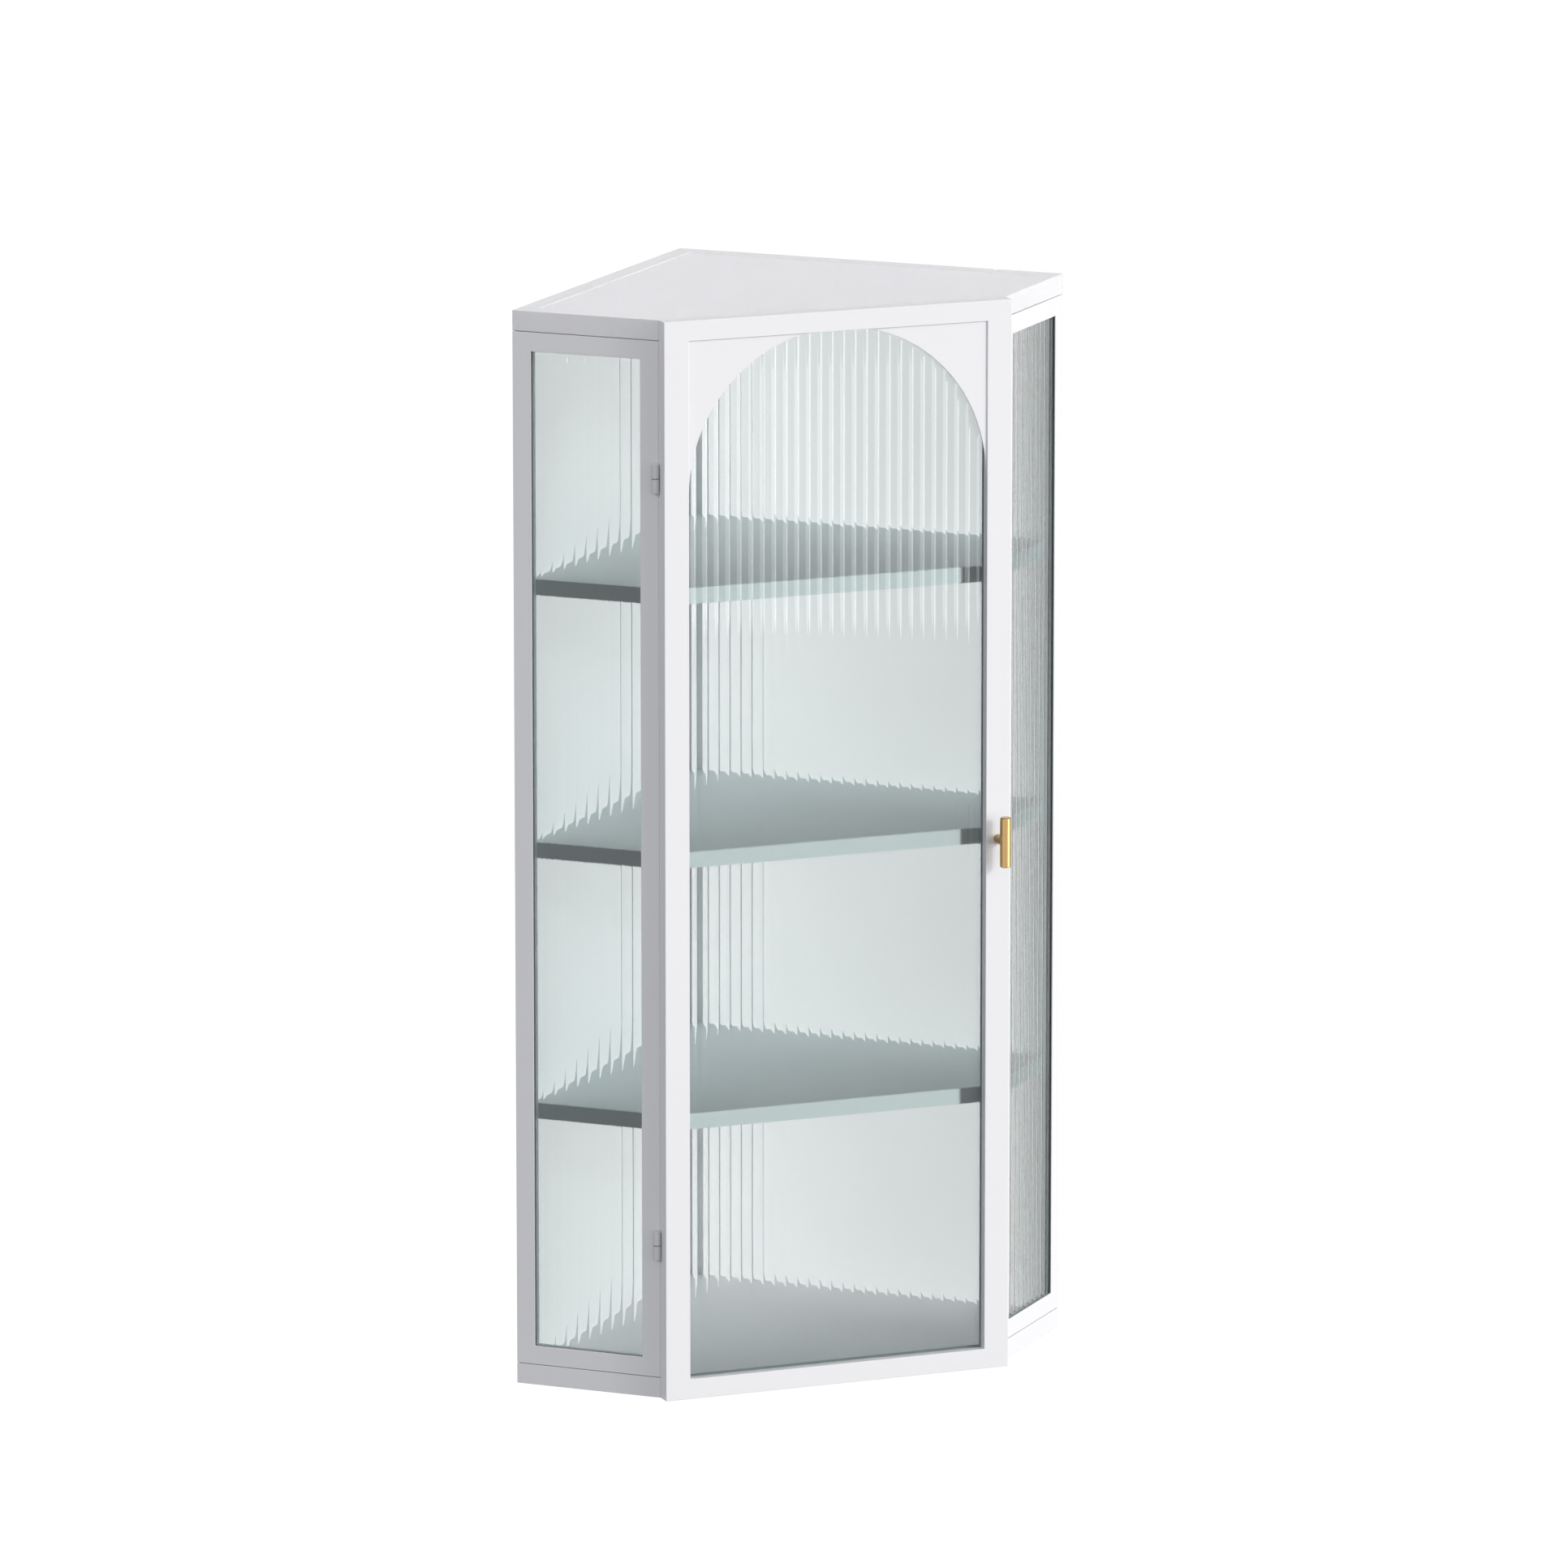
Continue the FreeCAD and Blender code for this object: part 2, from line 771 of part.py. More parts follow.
def arch_plate(label, side):
    """The plate between one upper corner of the door's window and the round arch.

    The arch is a half circle whose cap is cut off by the window's upper edge.
    """
    body = new_body(label)
    radius = DOOR_WINDOW_HALF - size("arch_tip")
    cap = size("arch_cap")
    spring = DOOR_WINDOW_HIGH + cap - radius
    crown = Length(f"sqrt({(cap * (radius * 2 - cap)).text})")
    corners = [
        (side * DOOR_WINDOW_HALF, spring),
        (side * DOOR_WINDOW_HALF, DOOR_WINDOW_HIGH),
        (side * crown, DOOR_WINDOW_HIGH),
        (side * radius, spring),
    ]
    front = DOOR_FRONT_Y + size("arch_setback")
    sketch = new_sketch(body, "PlateOutline", "XZ_Plane", -front)
    draw_outline(sketch, corners, arcs={2: ((NONE, spring), radius)})
    grow(body, "Pad", "Plate", sketch, size("arch_sheet"), backwards=True)
    return body


KNOB_X = FRONT_HALF - size("door_stile") / 2
KNOB_Z = HEIGHT / 2

keep(door_frame())
for name, side in SIDES.items():
    keep(arch_plate(f"{name}_arch_plate", side))

glass_face = DOOR_FRONT_Y + size("door_lip") + FIT
glass_reach = size("rebate") - FIT
keep(
    reeded_pane(
        "door_glass",
        (DOOR_WINDOW_HALF + glass_reach) * 2,
        glass_face,
        DOOR_WINDOW_LOW - glass_reach,
        DOOR_WINDOW_HIGH + glass_reach,
        LEFT,
        size("door_flute_shift"),
    )
)
keep(
    beads(
        "door_glass_strips",
        -DOOR_WINDOW_HALF,
        DOOR_WINDOW_HALF,
        DOOR_WINDOW_LOW,
        DOOR_WINDOW_HIGH,
        glass_face + size("glass_thickness"),
        DOOR_BACK_Y,
    )
)


# The barrel hinges sit in the notch between the left side frame and the door's edge, clear of
# both by the same distance, and each knuckle is welded to its carrier by a narrow seam.

AXIS_OFFSET = size("hinge_radius") + size("hinge_clearance")
HINGE_X = -(FRONT_HALF + AXIS_OFFSET)
HINGE_Y = FRONT_Y - AXIS_OFFSET * (1 / DIAGONAL - 1)


def knuckle(label, mouth, direction, angle):
    """Half a barrel, bored from its mouth for the pin; direction is where its closed end is."""
    body = new_body(label)
    radius = size("hinge_radius")
    bore = size("pin_radius") + size("pin_fit")
    length = (size("hinge_length") - size("hinge_washer")) / 2
    depth = size("pin_depth") + FIT
    corners = [
        (bore, NONE),
        (radius, NONE),
        (radius, direction * length),
        (NONE, direction * length),
        (NONE, direction * depth),
        (bore, direction * depth),
    ]
    turned(body, "Barrel", corners)

    half = size("weld_width") / 2
    seam = rectangle((radius + bore) / 2, -half, AXIS_OFFSET, half)
    low, high = sorted((NONE, direction * length), key=lambda end: end.number)
    upright(body, "Weld", low, high, seam)
    place(body, HINGE_X, HINGE_Y, mouth, angle)
    return body


def hinge(name, middle):
    washer = size("hinge_washer")
    keep(knuckle(f"{name}_hinge_body_knuckle", middle - washer / 2, -1, 45))
    keep(knuckle(f"{name}_hinge_door_knuckle", middle + washer / 2, 1, 0))

    pin_low = middle - washer / 2 - size("pin_depth")
    pin = rod(
        f"{name}_hinge_pin",
        size("pin_radius"),
        size("pin_depth") * 2 + washer,
        HINGE_X,
        HINGE_Y,
        pin_low,
    )
    keep(pin)

    ring_body = new_body(f"{name}_hinge_washer")
    bore = size("pin_radius") + size("pin_fit")
    section = rectangle(bore, NONE, size("hinge_washer_radius"), washer)
    turned(ring_body, "Ring", section)
    place(ring_body, HINGE_X, HINGE_Y, middle - washer / 2)
    keep(ring_body)


hinge("lower", size("hinge_inset"))
hinge("upper", HEIGHT - size("hinge_inset"))


# The knob: an upright bar on a stem whose end is hollowed to fit it, screwed from behind.

def knob():
    radius = size("knob_radius")
    chamfer = size("knob_chamfer")
    half = size("knob_length") / 2
    bar_y = DOOR_FRONT_Y - size("knob_standoff")
    bar = new_body("knob_bar")
    corners = [
        (NONE, -half),
        (radius - chamfer, -half),
        (radius, chamfer - half),
        (radius, half - chamfer),
        (radius - chamfer, half),
        (NONE, half),
    ]
    turned(bar, "Bar", corners)
    place(bar, KNOB_X, bar_y, KNOB_Z)
    keep(bar)

    screw_radius = size("screw_radius")
    reach = size("knob_screw_reach")
    toward_room = {"angle": 90, "axis": (1, 0, 0)}
    post = rod(
        "knob_post",
        size("stem_radius"),
        size("knob_standoff"),
        KNOB_X,
        DOOR_FRONT_Y,
        KNOB_Z,
        **toward_room,
    )
    thread = rod(
        "knob_thread",
        screw_radius + size("screw_fit"),
        reach + FIT + OVERRUN,
        KNOB_X,
        DOOR_FRONT_Y + OVERRUN,
        KNOB_Z,
        **toward_room,
    )
    saddle = rod(
        "knob_saddle",
        radius + size("stem_fit"),
        size("knob_length"),
        KNOB_X,
        bar_y,
        KNOB_Z - half,
    )
    bored = doc.addObject("Part::Cut", "knob_bored_post")
    bored.Base = post
    bored.Tool = thread
    stem = doc.addObject("Part::Cut", "knob_stem")
    stem.Label = "knob_stem"
    stem.Base = bored
    stem.Tool = saddle
    keep(stem)

    screw = new_body("knob_screw")
    head = size("screw_head_radius")
    head_height = GAP - FIT
    length = DOOR + reach
    section = [
        (NONE, -head_height),
        (head, -head_height),
        (head, NONE),
        (screw_radius, NONE),
        (screw_radius, length),
        (NONE, length),
    ]
    turned(screw, "Screw", section)
    place(screw, KNOB_X, DOOR_BACK_Y, KNOB_Z, **toward_room)
    keep(screw)


knob()


# Hex-head screws, each with its head inside a back panel's hollow.

def screw(name, reach):
    """A screw along +X: the head's seat is at the origin and the shank runs into +X."""
    shank = doc.addObject("Part::Cylinder", f"{name}_shank")
    shank.setExpression("Radius", size("screw_radius").text)
    shank.setExpression("Height", reach.text)
    head = doc.addObject("Part::Prism", f"{name}_head")
    head.Polygon = 6
    head.setExpression("Circumradius", size("screw_head_radius").text)
    head.setExpression("Height", size("screw_head_height").text)
    head.setExpression("Placement.Base.z", (-size("screw_head_height")).text)
    return fused(name, shank, head)


def ring_screws(label, seat, direction, reach):
    """Screws through the back panels' flanges into a ring; direction is up or down."""
    screws = []
    for name, side in SIDES.items():
        for number, along in enumerate(wall_screw_places()):
            item = screw(f"{label}_{name}_{number}", reach)
            x, y = wall_point(side, along, WALL_DEPTH / 2)
            place(item, x, y, seat, 90 - direction * 90, (1, 0, 0))
            screws.append(item)
    return group(label, screws)


def seam_screws(label, side, start, towards_apex, reach):
    """Screws along a wall, through a back panel's end flange, at the seam's three heights."""
    turn = FreeCAD.Rotation(FreeCAD.Vector(0, 0, 1), -90 + side * 45)
    tilt = FreeCAD.Rotation(FreeCAD.Vector(0, 1, 0), -90 if towards_apex else 90)
    screws = []
    for number, height in enumerate(upright_screw_heights()):
        item = screw(f"{label}_{number}", reach)
        place(item, *wall_point(side, start, WALL_DEPTH / 2), height)
        item.Placement = FreeCAD.Placement(item.Placement.Base, turn.multiply(tilt))
        screws.append(item)
    return screws


through = SHEET * 2 + size("screw_reach")
keep(ring_screws("top_frame_screws", WALLS_HIGH - SHEET, 1, through))
keep(ring_screws("bottom_frame_screws", WALLS_LOW + SHEET, -1, through))
keep(group("corner_screws", seam_screws("corner_screw", RIGHT, WALL_DEPTH + SHEET, True, through)))
for name, side in SIDES.items():
    start = WALL - WALL_DEPTH - SHEET
    reach = size("side_screw_reach")
    screws = seam_screws(f"{name}_side_screw", side, start, False, reach)
    keep(group(f"{name}_side_screws", screws))


# Round magnetic catches in the rings' front webs, and the bumpers beside them.

def catches():
    housings = []
    magnets = []
    bumpers = []
    into_body = {"angle": -90, "axis": (1, 0, 0)}
    x = FRONT_HALF - size("catch_inset")
    for name, low in (("lower", NONE), ("upper", WALLS_HIGH)):
        z = catch_heights(low)
        nose = rod(
            f"{name}_catch_nose",
            size("catch_radius"),
            size("catch_depth"),
            x,
            FRONT_Y,
            z,
            **into_body,
        )
        flange = size("catch_flange")
        collar = box(
            f"{name}_catch_collar",
            (x - flange, FRONT_Y + SHEET, z - flange),
            (x + flange, FRONT_Y + SHEET * 2, z + flange),
        )
        half = size("magnet_half")
        pocket = box(
            f"{name}_catch_pocket",
            (x - half, FRONT_Y, z - half),
            (x + half, FRONT_Y + size("magnet_depth"), z + half),
        )
        housing = doc.addObject("Part::Cut", f"{name}_catch_housing")
        housing.Base = fused(f"{name}_catch_shell", nose, collar)
        housing.Tool = pocket
        housings.append(housing)
        half = size("magnet_half") - size("pin_fit")
        magnets.append(
            box(
                f"{name}_catch_magnet",
                (x - half, FRONT_Y, z - half),
                (x + half, FRONT_Y + size("magnet_depth"), z + half),
            )
        )
        bumpers.append(
            rod(
                f"{name}_door_bumper",
                size("bumper_radius"),
                GAP,
                FRONT_HALF - size("bumper_inset"),
                DOOR_BACK_Y,
                z,
                **into_body,
            )
        )
    keep(group("catch_housings", housings))
    keep(group("catch_magnets", magnets))
    keep(group("door_bumpers", bumpers))


catches()
doc.recompute()

# Nothing is written unless every object has been rebuilt without a fault.
faults = [item.Label for item in doc.Objects if {"Invalid", "Error"} & set(item.State)]
for label, thing in parts.items():
    shape = thing.Shape
    if shape.isNull() or not shape.isValid() or not shape.Solids:
        faults.append(label)
if faults:
    raise RuntimeError("faulty objects: " + ", ".join(faults))

os.makedirs("parts", exist_ok=True)
for label, thing in parts.items():
    thing.Shape.exportStep(f"parts/{label}.step")
    volume = thing.Shape.Volume
    print(f"{label}: {len(thing.Shape.Solids)} solid(s), {volume:.0f} mm3")
print(f"{len(parts)} nodes")
print("apex", round(APEX_Y.number, 3), "front", round(FRONT_Y.number, 3))
print("hinge axis", round(HINGE_X.number, 3), round(HINGE_Y.number, 3))
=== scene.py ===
import json
import logging
import math
from dataclasses import dataclass
from enum import Enum

import bmesh
import bpy
from mathutils import Matrix, Vector

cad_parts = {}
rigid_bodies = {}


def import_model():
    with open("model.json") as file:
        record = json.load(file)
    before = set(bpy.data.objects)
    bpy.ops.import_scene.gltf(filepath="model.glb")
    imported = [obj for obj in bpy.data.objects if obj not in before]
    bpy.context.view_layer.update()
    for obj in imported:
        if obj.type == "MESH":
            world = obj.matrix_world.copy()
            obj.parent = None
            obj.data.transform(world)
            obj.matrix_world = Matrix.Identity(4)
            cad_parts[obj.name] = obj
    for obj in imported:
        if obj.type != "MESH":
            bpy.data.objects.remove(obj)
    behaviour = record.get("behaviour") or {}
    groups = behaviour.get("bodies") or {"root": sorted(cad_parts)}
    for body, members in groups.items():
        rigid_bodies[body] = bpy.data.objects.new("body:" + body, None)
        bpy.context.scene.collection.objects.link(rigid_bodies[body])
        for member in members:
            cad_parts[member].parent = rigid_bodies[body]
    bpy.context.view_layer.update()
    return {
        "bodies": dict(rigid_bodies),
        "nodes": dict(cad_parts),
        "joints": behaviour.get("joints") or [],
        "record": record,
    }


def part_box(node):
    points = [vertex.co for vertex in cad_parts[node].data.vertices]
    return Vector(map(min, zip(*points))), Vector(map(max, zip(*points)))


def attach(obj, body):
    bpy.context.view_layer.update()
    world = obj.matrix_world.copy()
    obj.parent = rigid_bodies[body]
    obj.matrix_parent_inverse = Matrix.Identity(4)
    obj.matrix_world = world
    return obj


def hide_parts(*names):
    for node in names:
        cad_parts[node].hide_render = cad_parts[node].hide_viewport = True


log = logging.getLogger("corner_cabinet")

Triple = tuple[float, float, float]
Outline = list[tuple[float, float]]
Pieces = dict[str, bpy.types.Object]

MILLIMETRE = 0.001
FRAME_PIXELS = 1932
SENSOR_WIDTH = 36.0
WHITE = (1.0, 1.0, 1.0)
FRONT = Vector((0.0, -1.0, 0.0))
UP = Vector((0.0, 0.0, 1.0))


class Side(Enum):
    """The two sides of the cabinet, as the sign of X."""

    LEFT = -1
    RIGHT = 1


class Value:
    """A number or vector socket that Python's operators work on."""

    def __init__(self, graph: "Graph", socket: bpy.types.NodeSocket) -> None:
        """Wrap one output socket of a graph's node."""
        self.graph = graph
        self.socket = socket

    def math(self, operation: str, *others: "Value | float") -> "Value":
        """Add a Math node.

        Args:
            operation: The node's operation.
            others: The second and third operands.

        Returns:
            The node's result.
        """
        inputs = dict(enumerate((self, *others)))
        made = self.graph.node("ShaderNodeMath", {"operation": operation}, inputs)
        return Value(self.graph, made.outputs[0])

    def __add__(self, other: "Value | float") -> "Value":
        """The sum."""
        return self.math("ADD", other)

    def __radd__(self, other: float) -> "Value":
        """The sum, with a number in front."""
        return self.math("ADD", other)

    def __sub__(self, other: "Value | float") -> "Value":
        """The difference."""
        return self.math("SUBTRACT", other)

    def __rsub__(self, other: float) -> "Value":
        """A number less this value."""
        return (self * -1.0) + other

    def __mul__(self, other: "Value | float") -> "Value":
        """The product."""
        return self.math("MULTIPLY", other)

    def __rmul__(self, other: float) -> "Value":
        """The product, with a number in front."""
        return self.math("MULTIPLY", other)

    def __truediv__(self, other: "Value | float") -> "Value":
        """The quotient."""
        return self.math("DIVIDE", other)

    def __lt__(self, other: "Value | float") -> "Value":
        """One where this value is the smaller."""
        return self.math("LESS_THAN", other)

    def __gt__(self, other: "Value | float") -> "Value":
        """One where this value is the larger, which also serves a number < this value."""
        return self.math("GREATER_THAN", other)


class Graph:
    """Adds nodes and links to one node tree."""

    def __init__(self, tree: bpy.types.NodeTree) -> None:
        """Work on a tree."""
        self.tree = tree

    def node(
        self, kind: str, settings: dict | None = None, inputs: dict | None = None
    ) -> bpy.types.Node:
        """Add a node.

        Args:
            kind: The node's type.
            settings: Its properties by name, set before its sockets.
            inputs: Values or links by the socket's name or number.

        Returns:
            The new node.
        """
        made = self.tree.nodes.new(kind)
        for name, value in (settings or {}).items():
            setattr(made, name, value)
        for name, value in (inputs or {}).items():
            self.feed(made.inputs[name], value)
        return made

    def feed(self, socket: bpy.types.NodeSocket, value: object) -> None:
        """Set a socket, or link it where the value is a socket itself.

        Args:
            socket: The input socket.
            value: A plain value, an output socket or a wrapped one.
        """
        if isinstance(value, Value):
            value = value.socket
        if isinstance(value, bpy.types.NodeSocket):
            self.tree.links.new(value, socket)
        else:
            socket.default_value = value

    def value(self, kind: str, settings: dict, inputs: dict) -> Value:
        """Add a node and wrap its first output."""
        return Value(self, self.node(kind, settings, inputs).outputs[0])


def material_graph(name: str) -> tuple[bpy.types.Material, Graph]:
    """Make an empty material.

    Args:
        name: The material's name.

    Returns:
        The material and the graph of its nodes.
    """
    material = bpy.data.materials.new(name)
    material.use_nodes = True
    material.node_tree.nodes.clear()
    return material, Graph(material.node_tree)


def object_noise(graph: Graph, stretch: Triple, detail: float = 2.0) -> Value:
    """A noise pattern fixed to the object.

    Args:
        graph: The material's graph.
        stretch: How many times the pattern repeats in a metre, along X, Y and Z.
        detail: The number of octaves.

    Returns:
        The noise, from 0 to 1.
    """
    place = graph.node("ShaderNodeTexCoord").outputs["Object"]
    mapped = graph.node("ShaderNodeMapping", None, {"Vector": place, "Scale": stretch})
    settings = {"noise_dimensions": "3D"}
    inputs = {"Vector": mapped.outputs[0], "Scale": 1.0, "Detail": detail}
    return graph.value("ShaderNodeTexNoise", settings, inputs)


def even(scale: float) -> Triple:
    """The same stretch along each axis."""
    return (scale, scale, scale)


def opaque(colour: Triple) -> tuple[float, float, float, float]:
    """A colour with full alpha."""
    return (*colour, 1.0)


def shade(colour: Triple, share: float) -> Triple:
    """A colour made lighter or darker by a share."""
    return tuple(min(1.0, channel * share) for channel in colour)


def mixed_colour(graph: Graph, factor: Value, low: Triple, high: Triple) -> bpy.types.NodeSocket:
    """A colour between two, by a factor."""
    inputs = {0: factor, 6: opaque(low), 7: opaque(high)}
    return graph.node("ShaderNodeMix", {"data_type": "RGBA"}, inputs).outputs[2]


def varied_colour(
    graph: Graph, factor: Value, colour: Triple, shares: tuple[float, float]
) -> bpy.types.NodeSocket:
    """A colour that goes from a darker to a lighter share of itself, by a factor."""
    return mixed_colour(graph, factor, shade(colour, shares[0]), shade(colour, shares[1]))


def varied(middle: float, spread: float, factor: Value) -> Value:
    """A number that goes half its spread either way of its middle, by a factor from 0 to 1."""
    return middle - spread / 2 + factor * spread


def bumped(graph: Graph, height: Value, strength: float, depth: float) -> bpy.types.NodeSocket:
    """A normal that follows a pattern's height."""
    inputs = {"Strength": strength, "Distance": depth, "Height": height}
    return graph.node("ShaderNodeBump", None, inputs).outputs[0]


@dataclass(frozen=True)
class PowderCoat:
    """Baked powder coat: an even satin film with a very fine orange peel."""

    name: str
    colour: Triple = (0.855, 0.853, 0.862)
    roughness: float = 0.42
    roughness_spread: float = 0.06
    colour_shares: tuple[float, float] = (0.985, 1.01)
    specular: float = 0.4
    clouds_per_metre: float = 4.0
    peel_per_metre: float = 620.0
    peel_octaves: float = 1.0
    peel_strength: float = 0.05
    peel_depth: float = 0.2 * MILLIMETRE

    def material(self) -> bpy.types.Material:
        """Build the coat's nodes.

        Returns:
            The material.
        """
        material, graph = material_graph(self.name)
        cloud = object_noise(graph, even(self.clouds_per_metre))
        peel = object_noise(graph, even(self.peel_per_metre), self.peel_octaves)
        coat = graph.node("ShaderNodeBsdfPrincipled", None, {
            "Base Color": varied_colour(graph, cloud, self.colour, self.colour_shares),
            "Roughness": varied(self.roughness, self.roughness_spread, cloud),
            "Specular IOR Level": self.specular,
            "Normal": bumped(graph, peel, self.peel_strength, self.peel_depth),
        })
        graph.node("ShaderNodeOutputMaterial", None, {"Surface": coat.outputs[0]})
        return material


@dataclass(frozen=True)
class BrushedMetal:
    """Metal with fine upright lines."""

    name: str
    colour: Triple
    roughness: float = 0.3
    line_strength: float = 0.12
    line_depth: float = 0.1 * MILLIMETRE
    lines_per_metre: Triple = (2600.0, 2600.0, 60.0)
    line_octaves: float = 3.0
    line_share: float = 0.6
    roughness_spread: float = 0.1
    colour_shares: tuple[float, float] = (0.9, 1.08)
    clouds_per_metre: float = 90.0

    def material(self) -> bpy.types.Material:
        """Build the metal's nodes.

        Returns:
            The material.
        """
        material, graph = material_graph(self.name)
        lines = object_noise(graph, self.lines_per_metre, self.line_octaves)
        cloud = object_noise(graph, even(self.clouds_per_metre))
        streaks = lines * self.line_share + cloud * (1.0 - self.line_share)
        metal = graph.node("ShaderNodeBsdfPrincipled", None, {
            "Base Color": varied_colour(graph, streaks, self.colour, self.colour_shares),
            "Metallic": 1.0,
            "Roughness": varied(self.roughness, self.roughness_spread, lines),
            "Normal": bumped(graph, lines, self.line_strength, self.line_depth),
        })
        graph.node("ShaderNodeOutputMaterial", None, {"Surface": metal.outputs[0]})
        return material


@dataclass(frozen=True)
class Moulded:
    """Moulded plastic or rubber with a faint grain."""

    name: str
    colour: Triple
    roughness: float = 0.5
    roughness_spread: float = 0.08
    colour_shares: tuple[float, float] = (0.94, 1.04)
    grain_per_metre: float = 1800.0
    grain_strength: float = 0.15
    grain_depth: float = 0.1 * MILLIMETRE

    def material(self) -> bpy.types.Material:
        """Build the moulding's nodes.

        Returns:
            The material.
        """
        material, graph = material_graph(self.name)
        grain = object_noise(graph, even(self.grain_per_metre))
        surface = graph.node("ShaderNodeBsdfPrincipled", None, {
            "Base Color": varied_colour(graph, grain, self.colour, self.colour_shares),
            "Roughness": varied(self.roughness, self.roughness_spread, grain),
            "Normal": bumped(graph, grain, self.grain_strength, self.grain_depth),
        })
        graph.node("ShaderNodeOutputMaterial", None, {"Surface": surface.outputs[0]})
        return material


@dataclass(frozen=True)
class ReededGlass:
    """Clear glass with a faint green cast, which lets a share of the outside light in.

    The share of the lamps is passed to shadow rays, and that of the surround to diffuse ones.
    """

    name: str = "reeded_glass"
    colour: Triple = (0.84, 0.87, 0.855)
    index: float = 1.5
    greatest_roughness: float = 0.004
    clouds_per_metre: float = 14.0
    lamps_passed: Triple = (0.22, 0.275, 0.275)
    around_passed: Triple = (0.11, 0.14, 0.145)

    def material(self) -> bpy.types.Material:
        """Build the glass's nodes.

        Returns:
            The material.
        """
        material, graph = material_graph(self.name)
        cloud = object_noise(graph, even(self.clouds_per_metre))
        glass = graph.node("ShaderNodeBsdfPrincipled", None, {
            "Base Color": opaque(self.colour),
            "Roughness": cloud * self.greatest_roughness,
            "IOR": self.index,
            "Transmission Weight": 1.0,
        })
        path = graph.node("ShaderNodeLightPath")
        surface = glass.outputs[0]
        for ray, passed in (
            ("Is Diffuse Ray", self.around_passed), ("Is Shadow Ray", self.lamps_passed)
        ):
            # A ray meets two faces of the pane, and each passes the square root of the whole.
            tint = tuple(math.sqrt(channel) for channel in passed)
            clear = graph.node("ShaderNodeBsdfTransparent", None, {"Color": opaque(tint)})
            inputs = {0: path.outputs[ray], 1: surface, 2: clear.outputs[0]}
            surface = graph.node("ShaderNodeMixShader", None, inputs).outputs[0]
        graph.node("ShaderNodeOutputMaterial", None, {"Surface": surface})
        return material


FINISHES = {
    "frame_white": PowderCoat("frame_coat"),
    "panel_white": PowderCoat("panel_coat"),
    # Painted shade: the shelves are white steel like the frame, and this darker coat paints in
    # the shade that lies on them inside the cabinet.
    "shelf_white": PowderCoat("shelf_coat", (0.67, 0.745, 0.755)),
    "door_white": PowderCoat("door_coat"),
    # Painted shade: the hinge is white powder coat like the frame, and this darker coat paints
    # in the shade that the door's edge casts on the barrels.
    "hinge_white": PowderCoat("hinge_coat", (0.70, 0.70, 0.71), 0.36),
    "hinge_steel": BrushedMetal("pin_steel", (0.6, 0.6, 0.62), 0.25),
    # Painted shade: the brass washers are made nearly black to paint in the shaded split line
    # between the two knuckles.
    "hinge_brass": BrushedMetal("washer_brass", (0.12, 0.10, 0.08), 0.5),
    "reeded_glass": ReededGlass(),
    "knob_brass": BrushedMetal("knob_brass", (0.45, 0.295, 0.125), 0.2, line_strength=0.05),
    "screw_steel": BrushedMetal("zinc_plate", (0.62, 0.62, 0.64), 0.35),
    "catch_plastic": Moulded("catch_plastic", (0.82, 0.82, 0.83)),
    "magnet_steel": BrushedMetal("nickel_plate", (0.66, 0.65, 0.63), 0.2),
    "bumper_rubber": Moulded("bumper_rubber", (0.7, 0.7, 0.72), 0.6),
}


def mesh_piece(name: str, mesh: bpy.types.Mesh) -> bpy.types.Object:
    """Put a mesh in the scene as an object at the origin.

    Args:
        name: The object's name.
        mesh: Its mesh.

    Returns:
        The object.
    """
    piece = bpy.data.objects.new(name, mesh)
    bpy.context.scene.collection.objects.link(piece)
    return piece


